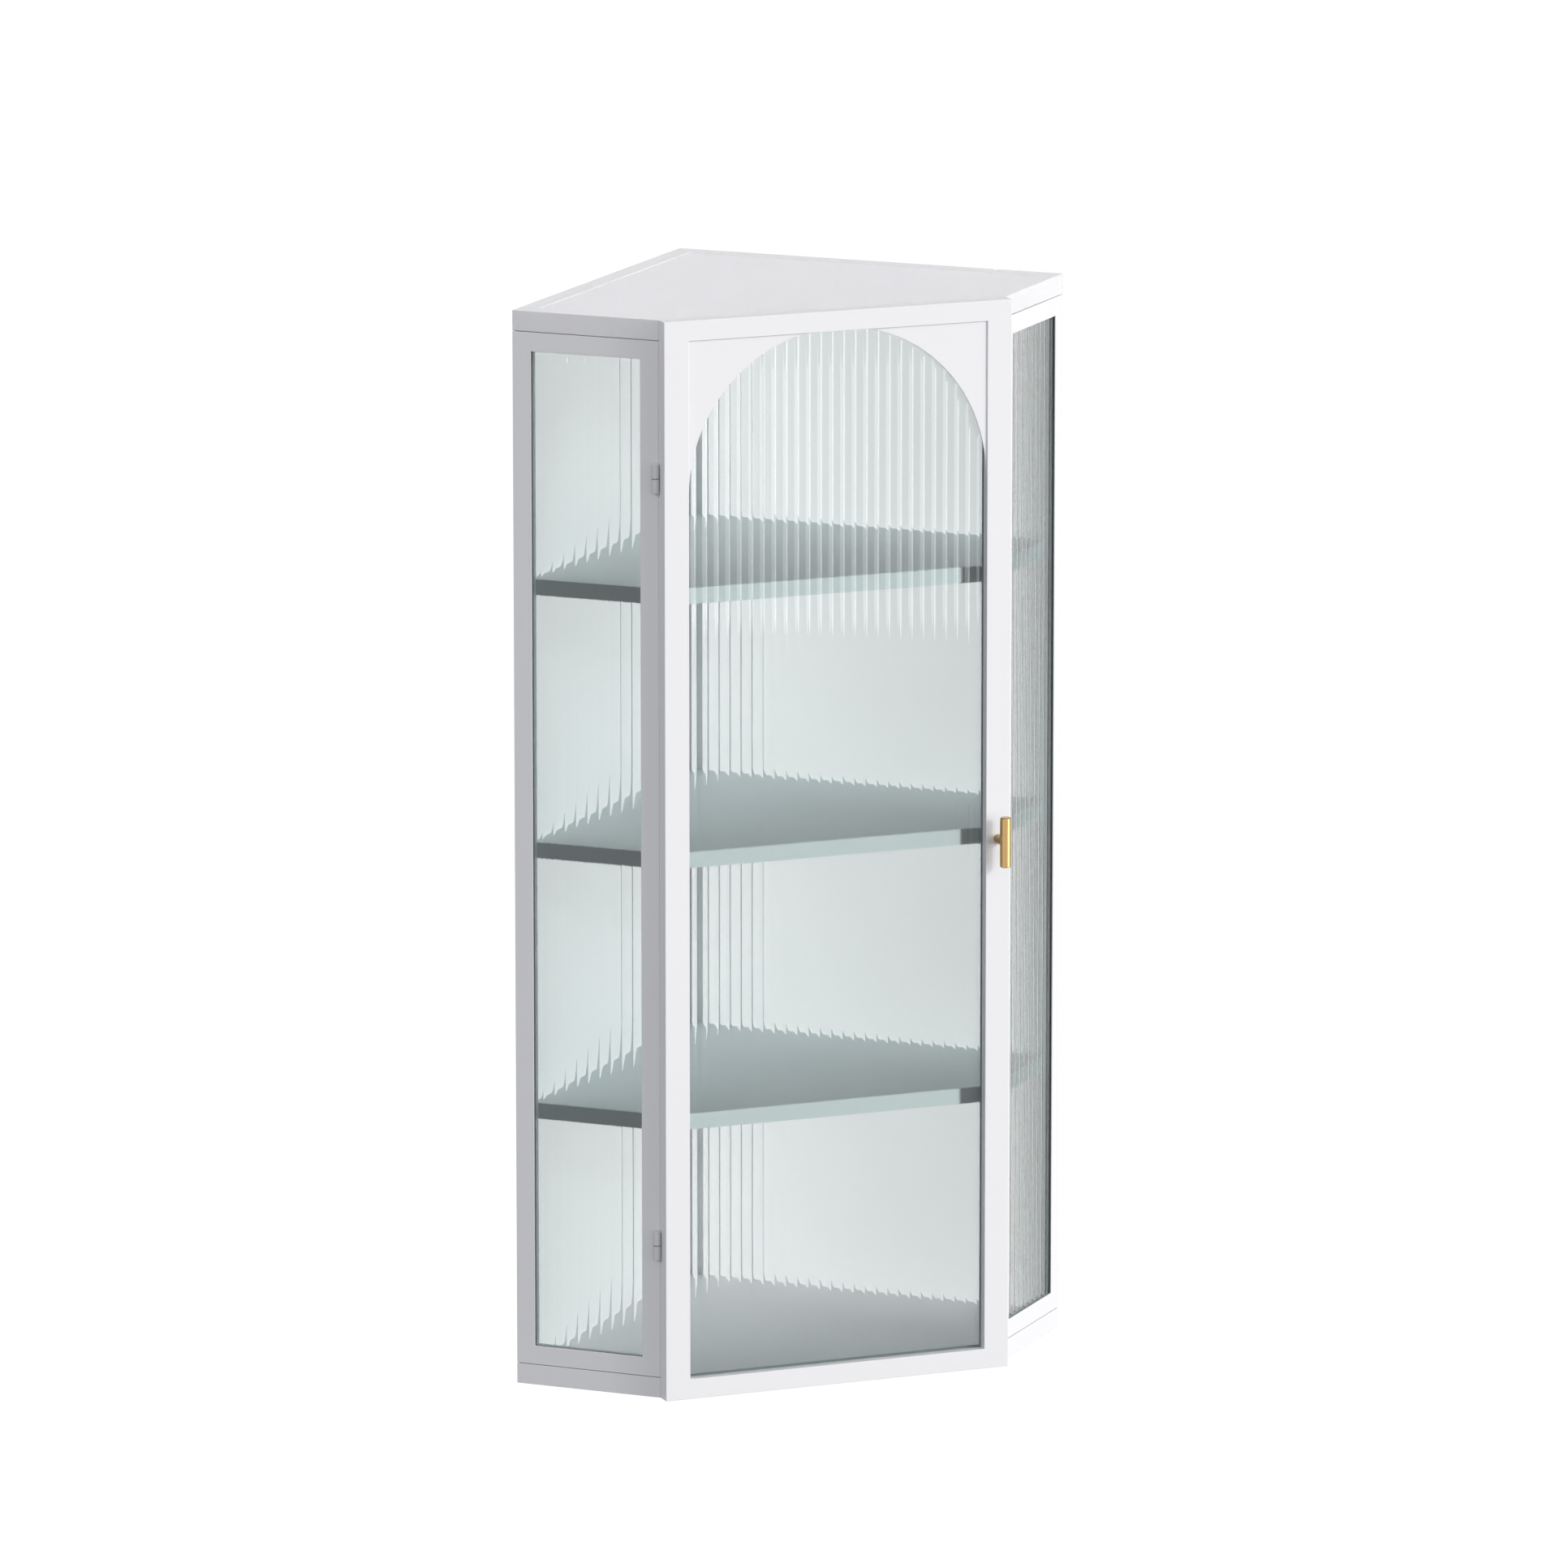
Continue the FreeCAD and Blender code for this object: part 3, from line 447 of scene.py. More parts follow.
class PaneTree:
    """The geometry nodes that make a reeded pane: a slab whose outer face is a row of flutes."""

    smooth_degrees: float = 15.0
    merge_distance: float = 0.01 * MILLIMETRE

    def __init__(self) -> None:
        """Build the tree and its named inputs."""
        self.tree = bpy.data.node_groups.new("reeded_pane", "GeometryNodeTree")
        self.graph = Graph(self.tree)
        for name, kind in (
            ("Width", "NodeSocketFloat"),
            ("Thickness", "NodeSocketFloat"),
            ("Height", "NodeSocketFloat"),
            ("Columns", "NodeSocketInt"),
            ("Column", "NodeSocketFloat"),
            ("Pitch", "NodeSocketFloat"),
            ("First Ridge", "NodeSocketFloat"),
            ("Hollow", "NodeSocketFloat"),
            ("Ridge", "NodeSocketFloat"),
            ("Flank", "NodeSocketFloat"),
            ("Glass", "NodeSocketMaterial"),
        ):
            self.tree.interface.new_socket(name, in_out="INPUT", socket_type=kind)
        self.tree.interface.new_socket("Pane", in_out="OUTPUT", socket_type="NodeSocketGeometry")
        self.asked = self.graph.node("NodeGroupInput").outputs
        real = self.graph.node(
            "GeometryNodeRealizeInstances", None, {"Geometry": self.smoothed(self.fluted())}
        )
        dressed = self.graph.node("GeometryNodeSetMaterial", None, {
            "Geometry": real.outputs[0], "Material": self.asked["Glass"],
        })
        self.graph.node("NodeGroupOutput", None, {"Pane": dressed.outputs[0]})

    def number(self, name: str) -> Value:
        """One of the tree's named inputs, for operators."""
        return Value(self.graph, self.asked[name])

    def fluted(self) -> bpy.types.NodeSocket:
        """Make a box with narrow upright faces, and press the flutes into its outer side.

        The box is wider than the pane, with a column of points on every ridge. What stands out
        at the pane's two ends is drawn in to them.

        Returns:
            The pressed box.
        """
        graph = self.graph
        first, half = self.number("First Ridge"), self.number("Width") * 0.5
        size = graph.node("ShaderNodeCombineXYZ", None, {
            "X": self.number("Columns") * self.number("Column"),
            "Y": self.asked["Thickness"],
            "Z": self.asked["Height"],
        })
        slab = graph.node("GeometryNodeMeshCube", None, {
            "Size": size.outputs[0],
            "Vertices X": self.number("Columns") + 1,
            "Vertices Y": 2,
            "Vertices Z": 2,
        })
        place = graph.node("GeometryNodeInputPosition").outputs[0]
        apart = graph.node("ShaderNodeSeparateXYZ", None, {"Vector": place}).outputs
        across = Value(graph, apart["Y"])
        along = (Value(graph, apart["X"]) + first).math("MINIMUM", half)
        along = along.math("MAXIMUM", half * -1.0)
        pressed = graph.node("GeometryNodeSetPosition", None, {
            "Geometry": slab.outputs["Mesh"],
            "Position": graph.node("ShaderNodeCombineXYZ", None, {
                "X": along,
                "Y": across + self.drop(along - first) * (across < 0.0),
                "Z": apart["Z"],
            }).outputs[0],
        })
        return graph.node("GeometryNodeMergeByDistance", None, {
            "Geometry": pressed.outputs[0], "Distance": self.merge_distance,
        }).outputs[0]

    def drop(self, along: Value) -> Value:
        """How far the outer face lies behind the ridges' tops.

        Args:
            along: The distance along the pane from its first ridge.

        Returns:
            A steep flank beside each ridge, and a shallow hollow from ridge to ridge.
        """
        pitch = self.number("Pitch")
        away = along.math("PINGPONG", pitch * 0.5)
        flank = (1.0 - away / self.number("Flank")).math("MAXIMUM", 0.0)
        middle = 1.0 - away / pitch * 2.0
        return (
            (1.0 - flank * flank) * self.number("Ridge")
            + (1.0 - middle * middle) * self.number("Hollow")
        )

    def smoothed(self, geometry: bpy.types.NodeSocket) -> bpy.types.NodeSocket:
        """Shade smooth, but for the edges where the pane turns sharply.

        Args:
            geometry: The pane.

        Returns:
            The pane with its shading.
        """
        graph = self.graph
        angle = graph.node("GeometryNodeInputMeshEdgeAngle").outputs["Unsigned Angle"]
        rounded = Value(graph, angle) < math.radians(self.smooth_degrees)
        for domain, smooth in (("FACE", True), ("EDGE", rounded)):
            inputs = {"Geometry": geometry, "Shade Smooth": smooth}
            made = graph.node("GeometryNodeSetShadeSmooth", {"domain": domain}, inputs)
            geometry = made.outputs[0]
        return geometry

    def pane(self, name: str, inputs: dict) -> bpy.types.Mesh:
        """Run the tree once and keep its result as a plain mesh.

        Args:
            name: The mesh's name.
            inputs: A value for each named input.

        Returns:
            The mesh.
        """
        carrier = mesh_piece(f"{name}_carrier", bpy.data.meshes.new(f"{name}_carrier"))
        modifier = carrier.modifiers.new("pane", "NODES")
        modifier.node_group = self.tree
        sockets = {
            item.name: item.identifier
            for item in self.tree.interface.items_tree
            if item.in_out == "INPUT"
        }
        for label, value in inputs.items():
            modifier[sockets[label]] = value
        graph = bpy.context.evaluated_depsgraph_get()
        mesh = bpy.data.meshes.new_from_object(carrier.evaluated_get(graph))
        mesh.name = name
        bpy.data.objects.remove(carrier)
        return mesh


class Workshop:
    """The carried-over nodes, their finishes, and the pieces that take their places."""

    def __init__(self, frame: dict) -> None:
        """Make every finish and the panes' tree, and learn each node's slot and body.

        Args:
            frame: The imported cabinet, as it was loaded.
        """
        record = frame["record"]
        self.nodes: Pieces = frame["nodes"]
        self.pieces: Pieces = dict(self.nodes)
        self.materials = {slot: finish.material() for slot, finish in FINISHES.items()}
        self.slots = {row["node"]: row["material_slot"] for row in record["subparts"]}
        self.bodies = {
            node: body
            for body, names in record["behaviour"]["bodies"].items()
            for node in names
        }
        self.pane_tree = PaneTree()

    def dress_nodes(self) -> None:
        """Give every carried-over node its finish through its own material slots."""
        for name, node in self.nodes.items():
            material = self.materials[self.slots[name]]
            if not node.material_slots:
                node.data.materials.append(material)
            for slot in node.material_slots:
                slot.material = material

    def put_in_place(self, node: str, mesh: bpy.types.Mesh) -> bpy.types.Object:
        """Make a piece of a mesh, dress it as its node is and let it stand for that node.

        Args:
            node: The carried-over node that the piece replaces.
            mesh: The mesh, in place.

        Returns:
            The piece.
        """
        piece = mesh_piece(mesh.name, mesh)
        slot = self.slots[node]
        mesh.materials.clear()
        mesh.materials.append(self.materials[slot])
        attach(piece, self.bodies[node])
        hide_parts(node)
        self.pieces[node] = piece
        return piece


def shade_by_angle(work: bmesh.types.BMesh, degrees: float) -> None:
    """Shade a mesh smooth, but for the edges where it turns by more than an angle.

    Args:
        work: The mesh.
        degrees: The angle.
    """
    limit = math.radians(degrees)
    for face in work.faces:
        face.smooth = True
    for edge in work.edges:
        edge.smooth = edge.is_manifold and edge.calc_face_angle() < limit


def finished_mesh(work: bmesh.types.BMesh, name: str, smooth_degrees: float) -> bpy.types.Mesh:
    """Turn a mesh's faces outwards, shade it and keep it.

    Args:
        work: The mesh being made, which is freed.
        name: The kept mesh's name.
        smooth_degrees: The angle up to which an edge is shaded smooth.

    Returns:
        The kept mesh.
    """
    bmesh.ops.recalc_face_normals(work, faces=work.faces)
    shade_by_angle(work, smooth_degrees)
    mesh = bpy.data.meshes.new(name)
    work.to_mesh(mesh)
    work.free()
    return mesh


@dataclass(frozen=True)
class Coated:
    """A sheet or bar of coated steel in place of its plain node, its long edges rounded.

    The coat rounds each edge by softness. The ends are drawn in by joint, so that the seam with
    the piece above or below it shows, and the upper one lies higher by rise.
    """

    node: str
    softness: float = 0.4 * MILLIMETRE
    joint: float = 0.0
    rise: float = 0.0
    segments: int = 2
    round_profile: float = 0.5
    least_edge: float = 1.5 * MILLIMETRE
    least_corner_degrees: float = 50.0
    merge_distance: float = 0.002 * MILLIMETRE
    flat_degrees: float = 0.3
    smooth_degrees: float = 14.0
    end_slack: float = 0.01 * MILLIMETRE

    def build(self, shop: Workshop) -> bpy.types.Object:
        """Copy the node's mesh, merge it and round its edges.

        Args:
            shop: The nodes and their finishes.

        Returns:
            The coated piece.
        """
        work = bmesh.new()
        work.from_mesh(shop.nodes[self.node].data)
        bmesh.ops.remove_doubles(work, verts=work.verts, dist=self.merge_distance)
        bmesh.ops.dissolve_limit(
            work, angle_limit=math.radians(self.flat_degrees), verts=work.verts, edges=work.edges
        )
        self.move_ends(work)
        edges = [edge for edge in work.edges if self.is_rounded(edge)]
        bmesh.ops.bevel(
            work, geom=edges, offset=self.softness, offset_type="OFFSET",
            segments=self.segments, profile=self.round_profile, affect="EDGES",
            clamp_overlap=True,
        )
        mesh = finished_mesh(work, f"{self.node}_coated", self.smooth_degrees)
        return shop.put_in_place(self.node, mesh)

    def move_ends(self, work: bmesh.types.BMesh) -> None:
        """Move the lowest and highest corners by the joint's width and the rise.

        Args:
            work: The mesh.
        """
        heights = [vertex.co.z for vertex in work.verts]
        low, high = min(heights), max(heights)
        for vertex in work.verts:
            if vertex.co.z < low + self.end_slack:
                vertex.co.z += self.joint
            elif vertex.co.z > high - self.end_slack:
                vertex.co.z += self.rise - self.joint

    def is_rounded(self, edge: bmesh.types.BMEdge) -> bool:
        """Whether an edge is an outer corner that is long enough to round."""
        return (
            edge.is_manifold
            and edge.is_convex
            and edge.calc_length() > self.least_edge
            and edge.calc_face_angle() > math.radians(self.least_corner_degrees)
        )


def filleted(
    corners: Outline, radius: float, steps: int = 4, straight_share: float = 0.02
) -> Outline:
    """Round the inner corners of an open outline.

    Args:
        corners: The outline's corners.
        radius: How far from a corner its rounding starts.
        steps: How many pieces each rounding has.
        straight_share: How far along a side lies the point that keeps its shading straight.

    Returns:
        The outline with each corner but the first and last rounded.
    """
    outline = [corners[0]]
    for before, corner, after in zip(corners, corners[1:], corners[2:]):
        here = Vector(corner)
        start = here + (Vector(before) - here).normalized() * radius
        end = here + (Vector(after) - here).normalized() * radius
        outline.append(tuple(start.lerp(Vector(before), straight_share)))
        for step in range(steps + 1):
            share = step / steps
            outline.append(tuple(start.lerp(here, share).lerp(here.lerp(end, share), share)))
        outline.append(tuple(end.lerp(Vector(after), straight_share)))
    outline.append(corners[-1])
    return outline


@dataclass(frozen=True)
class Turned:
    """A turned piece about an upright axis, in place of its plain node.

    The outline goes from the axis back to it, each point a radius and a height.
    """

    node: str
    outline: Outline
    steps: int = 72
    least_radius: float = 0.001 * MILLIMETRE
    smooth_degrees: float = 30.0

    def build(self, place: Vector, shop: Workshop) -> bpy.types.Object:
        """Spin the outline.

        Args:
            place: The point on the axis that the outline's heights are measured from.
            shop: The finishes.

        Returns:
            The turned piece.
        """
        work = bmesh.new()
        rings = [self.ring(work, place + UP * height, radius) for radius, height in self.outline]
        for ring, following in zip(rings, rings[1:]):
            for step in range(self.steps):
                corners = [
                    ring[step % len(ring)],
                    ring[(step + 1) % len(ring)],
                    following[(step + 1) % len(following)],
                    following[step % len(following)],
                ]
                work.faces.new(list(dict.fromkeys(corners)))
        mesh = finished_mesh(work, f"{self.node}_turned", self.smooth_degrees)
        return shop.put_in_place(self.node, mesh)

    def ring(
        self, work: bmesh.types.BMesh, centre: Vector, radius: float
    ) -> list[bmesh.types.BMVert]:
        """Add a ring of points, or one point where the radius is nothing.

        Args:
            work: The mesh.
            centre: The ring's centre.
            radius: Its radius.

        Returns:
            The points.
        """
        points = []
        for step in range(self.steps if radius > self.least_radius else 1):
            angle = math.tau * step / self.steps
            spoke = Vector((math.cos(angle), math.sin(angle), 0.0)) * radius
            points.append(work.verts.new(centre + spoke))
        return points


def extent(node: bpy.types.Object, axis: Vector) -> tuple[float, float]:
    """How far a node reaches along an axis.

    Args:
        node: The carried-over node, at rest.
        axis: A direction of length 1.

    Returns:
        Its least and greatest distance from the origin along the axis.
    """
    reach = [vertex.co.dot(axis) for vertex in node.data.vertices]
    return min(reach), max(reach)


@dataclass(frozen=True)
class ReededPane:
    """One pane of reeded glass, in place of its plain node.

    The first ridge is measured from the pane's middle. Beside each ridge the glass drops by
    ridge within flank, and from ridge to ridge it is hollow by a little more.
    """

    node: str
    outward: Vector
    first_ridge: float = 0.0
    pitch: float = 12 * MILLIMETRE
    hollow: float = 0.03 * MILLIMETRE
    ridge: float = 0.475 * MILLIMETRE
    flank: float = 3.2 * MILLIMETRE
    columns_per_ridge: int = 30

    def build(self, shop: Workshop) -> bpy.types.Object:
        """Make the pane where its node is.

        Args:
            shop: The nodes, their finishes and the tree of a pane.

        Returns:
            The pane.
        """
        along = Vector((-self.outward.y, self.outward.x, 0.0))
        node = shop.nodes[self.node]
        left, right = extent(node, along)
        inner, outer = extent(node, self.outward)
        low, high = extent(node, UP)
        mesh = shop.pane_tree.pane(f"{self.node}_reeds", {
            "Width": right - left,
            "Thickness": outer - inner,
            "Height": high - low,
            "Columns": self.columns(right - left),
            "Column": self.pitch / self.columns_per_ridge,
            "Pitch": self.pitch,
            "First Ridge": self.first_ridge,
            "Hollow": self.hollow,
            "Ridge": self.ridge,
            "Flank": self.flank,
            "Glass": shop.materials["reeded_glass"],
        })
        centre = (
            along * (left + right) + self.outward * (inner + outer) + UP * (low + high)
        ) / 2
        turn = Matrix((along, -self.outward, UP)).transposed().to_4x4()
        mesh.transform(Matrix.Translation(centre) @ turn)
        return shop.put_in_place(self.node, mesh)

    def columns(self, width: float) -> int:
        """The columns of points of an even number of ridges that reach past both ends."""
        return self.columns_per_ridge * 2 * math.ceil(width / self.pitch / 2 + 1)


@dataclass(frozen=True)
class GlazedSide:
    """A side of the cabinet: its frame, which stands between the rings, and its pane."""

    side: Side
    joint: float = 0.7 * MILLIMETRE

    def build(self, shop: Workshop) -> list[bpy.types.Object]:
        """Make the pane and the frame.

        Args:
            shop: The nodes and their finishes.

        Returns:
            The two pieces.
        """
        name = self.side.name.lower()
        outward = Vector((self.side.value, -1.0, 0.0)).normalized()
        return [
            ReededPane(f"{name}_side_glass", outward).build(shop),
            Coated(f"{name}_side_frame", joint=self.joint).build(shop),
        ]


@dataclass(frozen=True)
class Casing:
    """The two rings, the sheets in them and the post in the back corner.

    The top sheet is raised in its ring, so that only a fine line shows round it.
    """

    sheet_softness: float = 0.2 * MILLIMETRE
    sheet_rise: float = 0.7 * MILLIMETRE

    def build(self, shop: Workshop) -> list[bpy.types.Object]:
        """Coat each sheet and bar.

        Args:
            shop: The nodes and their finishes.

        Returns:
            The pieces.
        """
        parts = (
            Coated("top_frame"),
            Coated("bottom_frame"),
            Coated("top_panel", softness=self.sheet_softness, rise=self.sheet_rise),
            Coated("floor_panel"),
            Coated("corner_post"),
        )
        return [part.build(shop) for part in parts]


@dataclass(frozen=True)
class Shelves:
    """The folded shelves."""

    nodes: tuple[str, ...] = ("lower_shelf", "middle_shelf", "upper_shelf")

    def build(self, shop: Workshop) -> list[bpy.types.Object]:
        """Coat each shelf."""
        return [Coated(node).build(shop) for node in self.nodes]


@dataclass(frozen=True)
class Door:
    """The door: its pane, its frame and the two plates that leave the arch."""

    first_ridge: float = 8.4 * MILLIMETRE
    plate_softness: float = 0.25 * MILLIMETRE

    def build(self, shop: Workshop) -> list[bpy.types.Object]:
        """Make the pane, the frame and the plates.

        Args:
            shop: The nodes and their finishes.

        Returns:
            The pieces.
        """
        pane = ReededPane("door_glass", FRONT, self.first_ridge)
        plates = [
            Coated(f"{side.name.lower()}_arch_plate", softness=self.plate_softness)
            for side in Side
        ]
        return [part.build(shop) for part in (pane, Coated("door_frame"), *plates)]


@dataclass(frozen=True)
class Knob:
    """The T-bar knob: a round stem, and a bar of brass rod with a chamfer at each end."""

    radius: float = 5.5 * MILLIMETRE
    chamfer: float = 1.0 * MILLIMETRE
    rounding: float = 0.25 * MILLIMETRE
    stem_softness: float = 0.2 * MILLIMETRE

    def build(self, shop: Workshop) -> list[bpy.types.Object]:
        """Make the stem, and turn the bar where its node is.

        Args:
            shop: The nodes and their finishes.

        Returns:
            The two pieces.
        """
        low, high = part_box("knob_bar")
        middle = (Vector(low) + Vector(high)) / 2
        half = (high[2] - low[2]) / 2
        corners = [
            (0.0, -half),
            (self.radius - self.chamfer, -half),
            (self.radius, self.chamfer - half),
            (self.radius, half - self.chamfer),
            (self.radius - self.chamfer, half),
            (0.0, half),
        ]
        return [
            Coated("knob_stem", softness=self.stem_softness).build(shop),
            Turned("knob_bar", filleted(corners, self.rounding)).build(middle, shop),
        ]


@dataclass(frozen=True)
class Hinge:
    """The two knuckles of a barrel hinge, with rounded ends, about their pin.

    Each knuckle is bored from its mouth, where the two meet. Its side has two rows of points,
    at the mouth's height and at the barrel's.
    """

    name: str
    radius: float = 3.8 * MILLIMETRE
    bore: float = 2.05 * MILLIMETRE
    bore_depth: float = 10.3 * MILLIMETRE
    lip_rounding: float = 0.3 * MILLIMETRE
    mouth_height: float = 2.2 * MILLIMETRE
    barrel_height: float = 2.75 * MILLIMETRE
    end_rounding: float = 1.1 * MILLIMETRE
    end_steps: int = 6

    def build(self, shop: Workshop) -> list[bpy.types.Object]:
        """Turn both knuckles where their nodes are.

        Args:
            shop: The finishes.

        Returns:
            The two knuckles.
        """
        low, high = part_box(f"{self.name}_hinge_pin")
        axis = (Vector(low) + Vector(high)) / 2
        return [
            self.knuckle(f"{self.name}_hinge_{body}_knuckle", axis, way, shop)
            for body, way in (("body", -1.0), ("door", 1.0))
        ]

    def knuckle(self, node: str, axis: Vector, way: float, shop: Workshop) -> bpy.types.Object:
        """Turn one knuckle.

        Args:
            node: The knuckle's node.
            axis: A point on the hinge's axis.
            way: 1 where the knuckle's closed end is its upper one, or -1.
            shop: The finishes.

        Returns:
            The knuckle.
        """
        low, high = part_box(node)
        mouth, length = (low[2] if way > 0 else high[2]), high[2] - low[2]
        inner = [(0.0, self.bore_depth), (self.bore, self.bore_depth)]
        outer = filleted(
            [(self.bore, 0.0), (self.radius, 0.0), (self.radius, self.mouth_height)],
            self.lip_rounding,
        )
        closed = filleted(
            [(self.radius, self.barrel_height), (self.radius, length), (0.0, length)],
            self.end_rounding, self.end_steps,
        )
        outline = [(radius, way * height) for radius, height in (*inner, *outer, *closed)]
        return Turned(node, outline).build(Vector((axis.x, axis.y, mouth)), shop)


@dataclass(frozen=True)
class Camera:
    """The camera, far off in front and to the left, a little above the cabinet."""

    place: Triple = (-4.2919, -10.5018, 2.9171)
    azimuth: float = 22.335
    descent: float = 11.71
    focal_pixels: float = 14420.0
    farthest: float = 60.0

    def build(self) -> None:
        """Add the camera and make it the scene's own."""
        data = bpy.data.cameras.new("camera")
        data.sensor_width = SENSOR_WIDTH
        data.lens = self.focal_pixels / FRAME_PIXELS * SENSOR_WIDTH
        data.clip_end = self.farthest
        camera = bpy.data.objects.new("camera", data)
        camera.location = self.place
        camera.rotation_euler = (
            math.radians(90.0 - self.descent), 0.0, math.radians(-self.azimuth)
        )
        bpy.context.scene.collection.objects.link(camera)
        bpy.context.scene.camera = camera


def keep_to(
    light: bpy.types.Object,
    receivers: tuple[str, ...],
    blockers: tuple[str, ...],
    pieces: Pieces,
) -> None:
    """Let a light reach some pieces alone, shaded by them and by the blockers alone.

    Args:
        light: The light.
        receivers: The nodes that it lights.
        blockers: Other nodes that stand in its way.
        pieces: The piece that stands for each node.
    """
    lit = bpy.data.collections.new(f"{light.name}_lit")
    shading = bpy.data.collections.new(f"{light.name}_shading")
    for name in receivers:
        lit.objects.link(pieces[name])
    for name in (*receivers, *blockers):
        shading.objects.link(pieces[name])
    light.light_linking.receiver_collection = lit
    light.light_linking.blocker_collection = shading


@dataclass(frozen=True)
class SoftBox:
    """A card that glows and faces the cabinet, for the glass and brass to mirror.

    Its level is the share of white that it lends a surface that faces it. With receivers it
    lights those alone.
    """

    name: str
    azimuth: float
    elevation: float
    distance: float
    width: float
    height: float
    level: float
    receivers: tuple[str, ...] = ()
    aim_height: float = 0.535

    def build(self, pieces: Pieces) -> None:
        """Add the light, and keep it to its receivers where it has any.

        Args:
            pieces: The piece that stands for each node.
        """
        data = bpy.data.lights.new(self.name, "AREA")
        data.shape = "RECTANGLE"
        data.size, data.size_y = self.width, self.height
        data.energy = self.level * math.pi ** 2 * self.distance ** 2
        light = bpy.data.objects.new(self.name, data)
        turn, lift = math.radians(self.azimuth), math.radians(self.elevation)
        towards = Vector((
            math.sin(turn) * math.cos(lift), -math.cos(turn) * math.cos(lift), math.sin(lift)
        ))
        light.location = towards * self.distance + UP * self.aim_height
        light.rotation_euler = towards.to_track_quat("Z", "Y").to_euler()
        light.visible_camera = False
        light.visible_transmission = False
        bpy.context.scene.collection.objects.link(light)
        if self.receivers:
            keep_to(light, self.receivers, (), pieces)


@dataclass(frozen=True)
class DistantLight:
    """A far lamp, which lights all that faces it alike, and which nothing mirrors.

    Its level is the share of white that it lends a surface that faces it. With receivers it
    lights those alone, and only they and the blockers shade them.
    """

    name: str
    azimuth: float
    elevation: float
    level: float
    spread: float = 20.0
    colour: Triple = WHITE
    receivers: tuple[str, ...] = ()
    blockers: tuple[str, ...] = ()

    def build(self, pieces: Pieces) -> None:
        """Add the light, and keep it to its receivers where it has any.

        Args:
            pieces: The piece that stands for each node.
        """
        data = bpy.data.lights.new(self.name, "SUN")
        data.angle = math.radians(self.spread)
        data.energy = self.level * math.pi
        data.color = self.colour
        light = bpy.data.objects.new(self.name, data)
        light.rotation_euler = (
            math.radians(90.0 - self.elevation), 0.0, math.radians(self.azimuth)
        )
        light.visible_transmission = False
        light.visible_glossy = False
        bpy.context.scene.collection.objects.link(light)
        if self.receivers:
            keep_to(light, self.receivers, self.blockers, pieces)


def directly_seen(graph: Graph) -> Value:
    """One for rays from the camera, and from gloss and glass, and zero for the rest.

    Args:
        graph: The graph that asks.

    Returns:
        The factor.
    """
    path = graph.node("ShaderNodeLightPath").outputs
    return (
        Value(graph, path["Is Camera Ray"])
        .math("MAXIMUM", Value(graph, path["Is Glossy Ray"]))
        .math("MAXIMUM", Value(graph, path["Is Transmission Ray"]))
    )


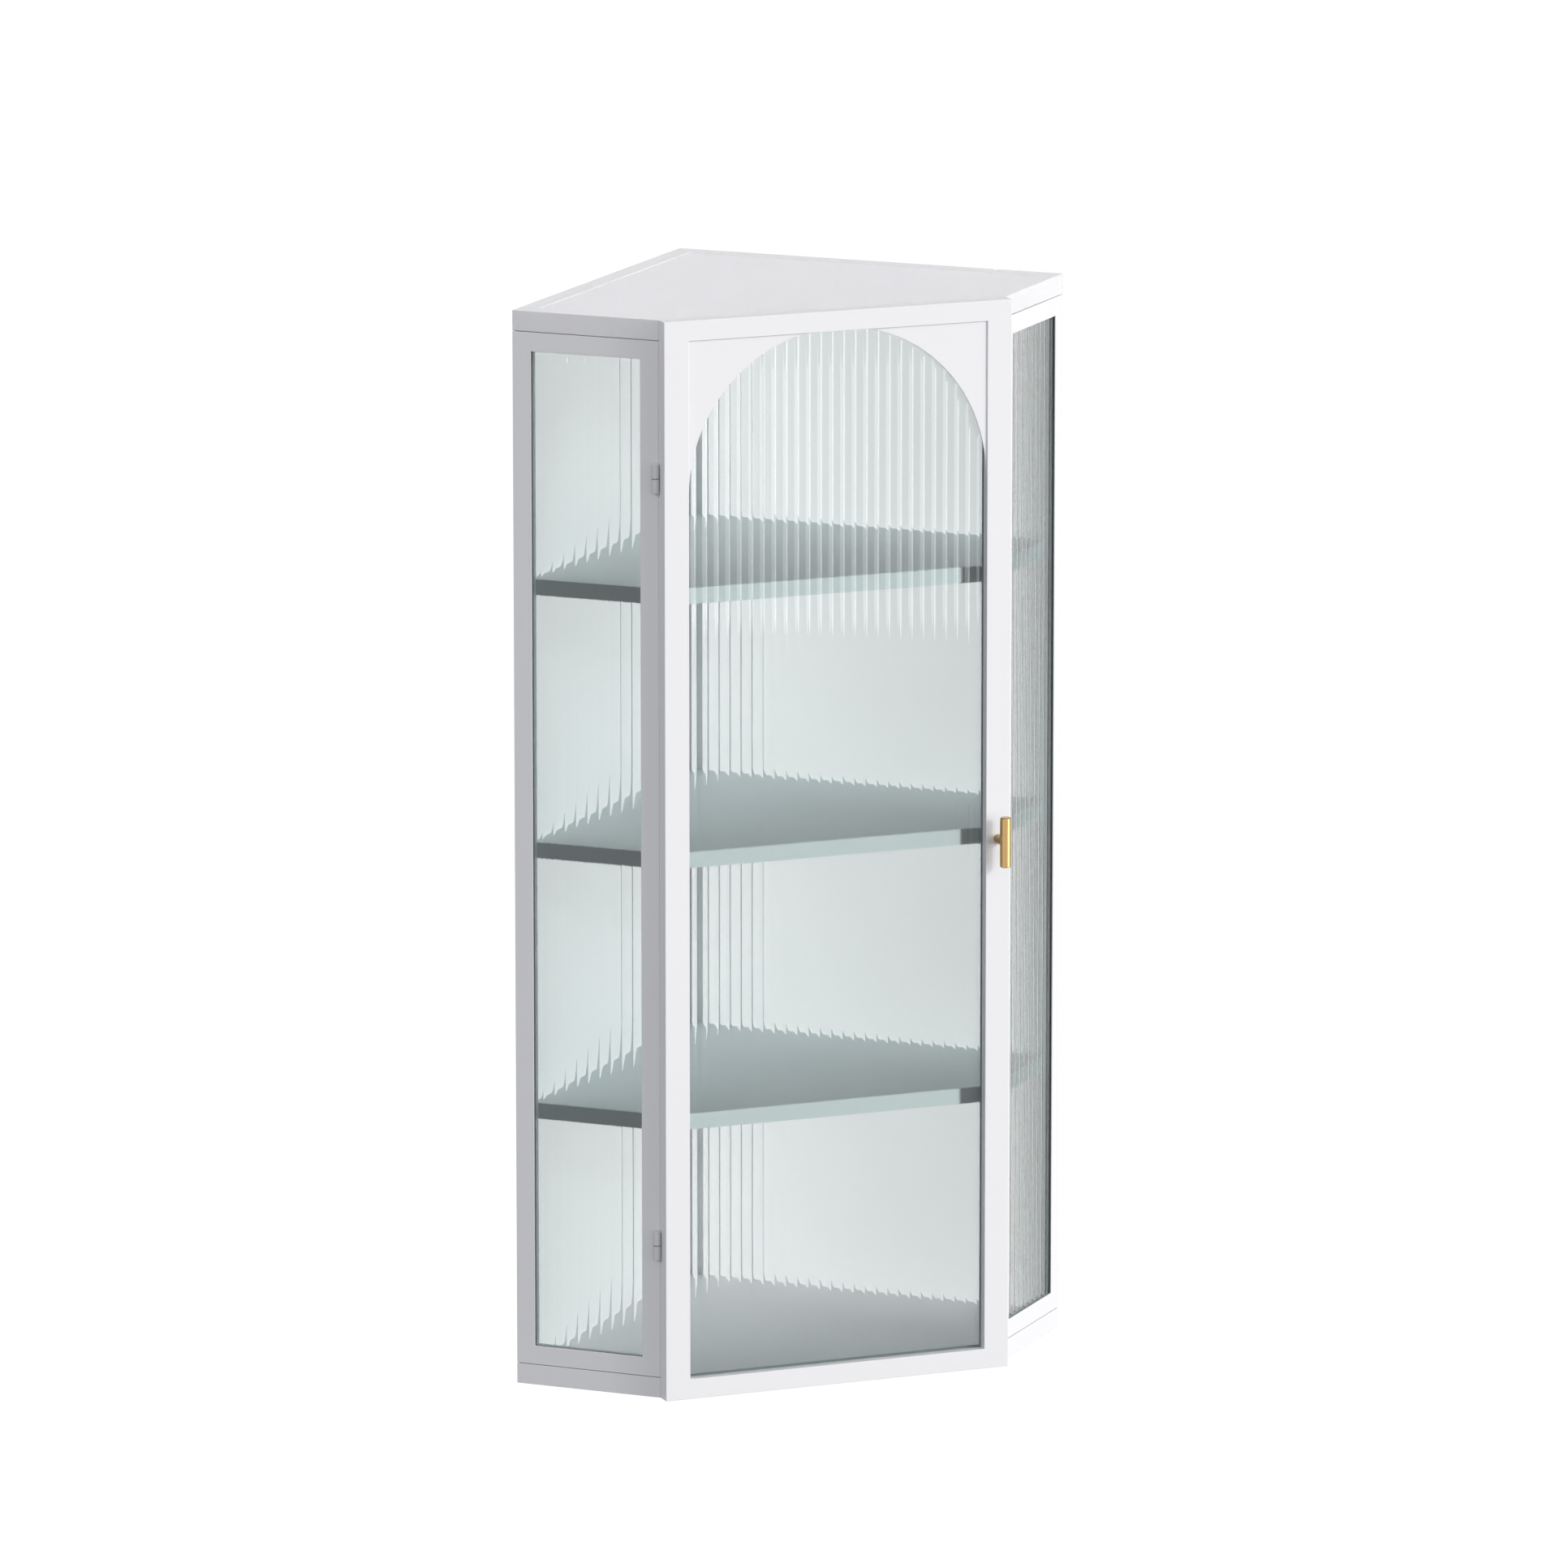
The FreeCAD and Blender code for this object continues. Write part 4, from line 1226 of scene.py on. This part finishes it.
@dataclass(frozen=True)
class Studio:
    """A pale floor, a white surround and the lights.

    The last four lights and the two cards at the knob stand in for light that comes through
    the curved glass or off the room, and reach only the pieces that they name.
    """

    floor_drop: float = 0.45
    floor_half: float = 14.0
    floor_colour: Triple = (0.22, 0.22, 0.22)
    floor_glow: float = 0.88
    ambient: Triple = (0.465, 0.463, 0.48)
    cards: tuple[SoftBox, ...] = (
        SoftBox("low_card", 2.5, -6.96, 6.4, width=3.84, height=0.4, level=0.030),
        SoftBox("right_card", 46.2, -3.45, 6.4, width=2.67, height=1.2, level=0.062),
        SoftBox("tall_strip", 46.0, -0.3, 6.3, width=0.9, height=1.9, level=0.055),
        SoftBox(
            "knob_card", 46.0, -11.7, 1.2, width=0.8, height=0.6, level=0.25,
            receivers=("knob_bar",),
        ),
        SoftBox(
            "knob_fill", -44.0, -11.7, 1.2, width=1.0, height=0.6, level=0.05,
            receivers=("knob_bar",),
        ),
    )
    lights: tuple[DistantLight, ...] = (
        DistantLight("main_light", 38.0, 16.0, level=0.44, spread=40.0),
        DistantLight("right_light", 75.0, 10.0, level=0.13, spread=30.0),
        DistantLight("key_light", 34.0, 20.0, level=0.17, spread=3.0),
        DistantLight("left_light", -60.0, 25.0, level=0.155, colour=(0.88, 0.93, 1.0)),
        DistantLight("top_light", 0.0, 90.0, level=0.10, receivers=("top_frame", "top_panel")),
        DistantLight("left_wall_light", 0.0, 0.0, level=0.80, receivers=("left_back_panel",)),
        DistantLight(
            "right_wall_light", -36.0, 0.0, level=0.63, spread=16.0,
            receivers=("right_back_panel",),
            blockers=("right_side_frame", "right_side_glass"),
        ),
        DistantLight(
            "shelf_light", 45.0, 0.0, level=0.98, spread=6.0,
            receivers=Shelves.nodes,
            blockers=("door_frame", "right_side_frame", "right_side_glass"),
        ),
    )

    def build(self, pieces: Pieces) -> None:
        """Add the floor, the world, the cards and the lights.

        Args:
            pieces: The piece that stands for each node.
        """
        self.add_floor()
        self.set_world()
        for light in (*self.cards, *self.lights):
            light.build(pieces)
        bpy.context.scene.view_settings.view_transform = "Standard"

    def add_floor(self) -> None:
        """A level floor that looks white to the camera and keeps the cabinet's shadow."""
        mesh = bpy.data.meshes.new("floor")
        half = self.floor_half
        corners = [(-half, -half), (half, -half), (half, half), (-half, half)]
        mesh.from_pydata([(x, y, -self.floor_drop) for x, y in corners], [], [(0, 1, 2, 3)])
        floor = mesh_piece("floor", mesh)
        material, graph = material_graph("pale_floor")
        colour = opaque(self.floor_colour)
        ground = graph.node("ShaderNodeBsdfDiffuse", None, {"Color": colour}).outputs[0]
        glow = graph.node("ShaderNodeEmission", None, {"Strength": self.floor_glow})
        lit = graph.node("ShaderNodeAddShader", None, {0: ground, 1: glow.outputs[0]})
        surface = graph.node("ShaderNodeMixShader", None, {
            0: directly_seen(graph), 1: ground, 2: lit.outputs[0],
        })
        graph.node("ShaderNodeOutputMaterial", None, {"Surface": surface.outputs[0]})
        mesh.materials.append(material)

    def set_world(self) -> None:
        """A surround that is white where it is seen, and softer where it lights."""
        world = bpy.data.worlds.new("surround")
        world.use_nodes = True
        world.node_tree.nodes.clear()
        graph = Graph(world.node_tree)
        colour = mixed_colour(graph, directly_seen(graph), self.ambient, WHITE)
        sky = graph.node("ShaderNodeBackground", None, {"Color": colour})
        graph.node("ShaderNodeOutputWorld", None, {"Surface": sky.outputs[0]})
        bpy.context.scene.world = world


def main() -> None:
    """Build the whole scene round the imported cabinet."""
    logging.basicConfig(level=logging.INFO, format="%(message)s")
    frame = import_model()
    shop = Workshop(frame)
    shop.dress_nodes()

    for assembly in (
        GlazedSide(Side.LEFT),
        GlazedSide(Side.RIGHT),
        Casing(),
        Shelves(),
        Door(),
        Knob(),
        Hinge("lower"),
        Hinge("upper"),
    ):
        for piece in assembly.build(shop):
            log.info("%s: %d faces", piece.name, len(piece.data.polygons))

    Camera().build()
    Studio().build(shop.pieces)


if __name__ == "__main__":
    main()
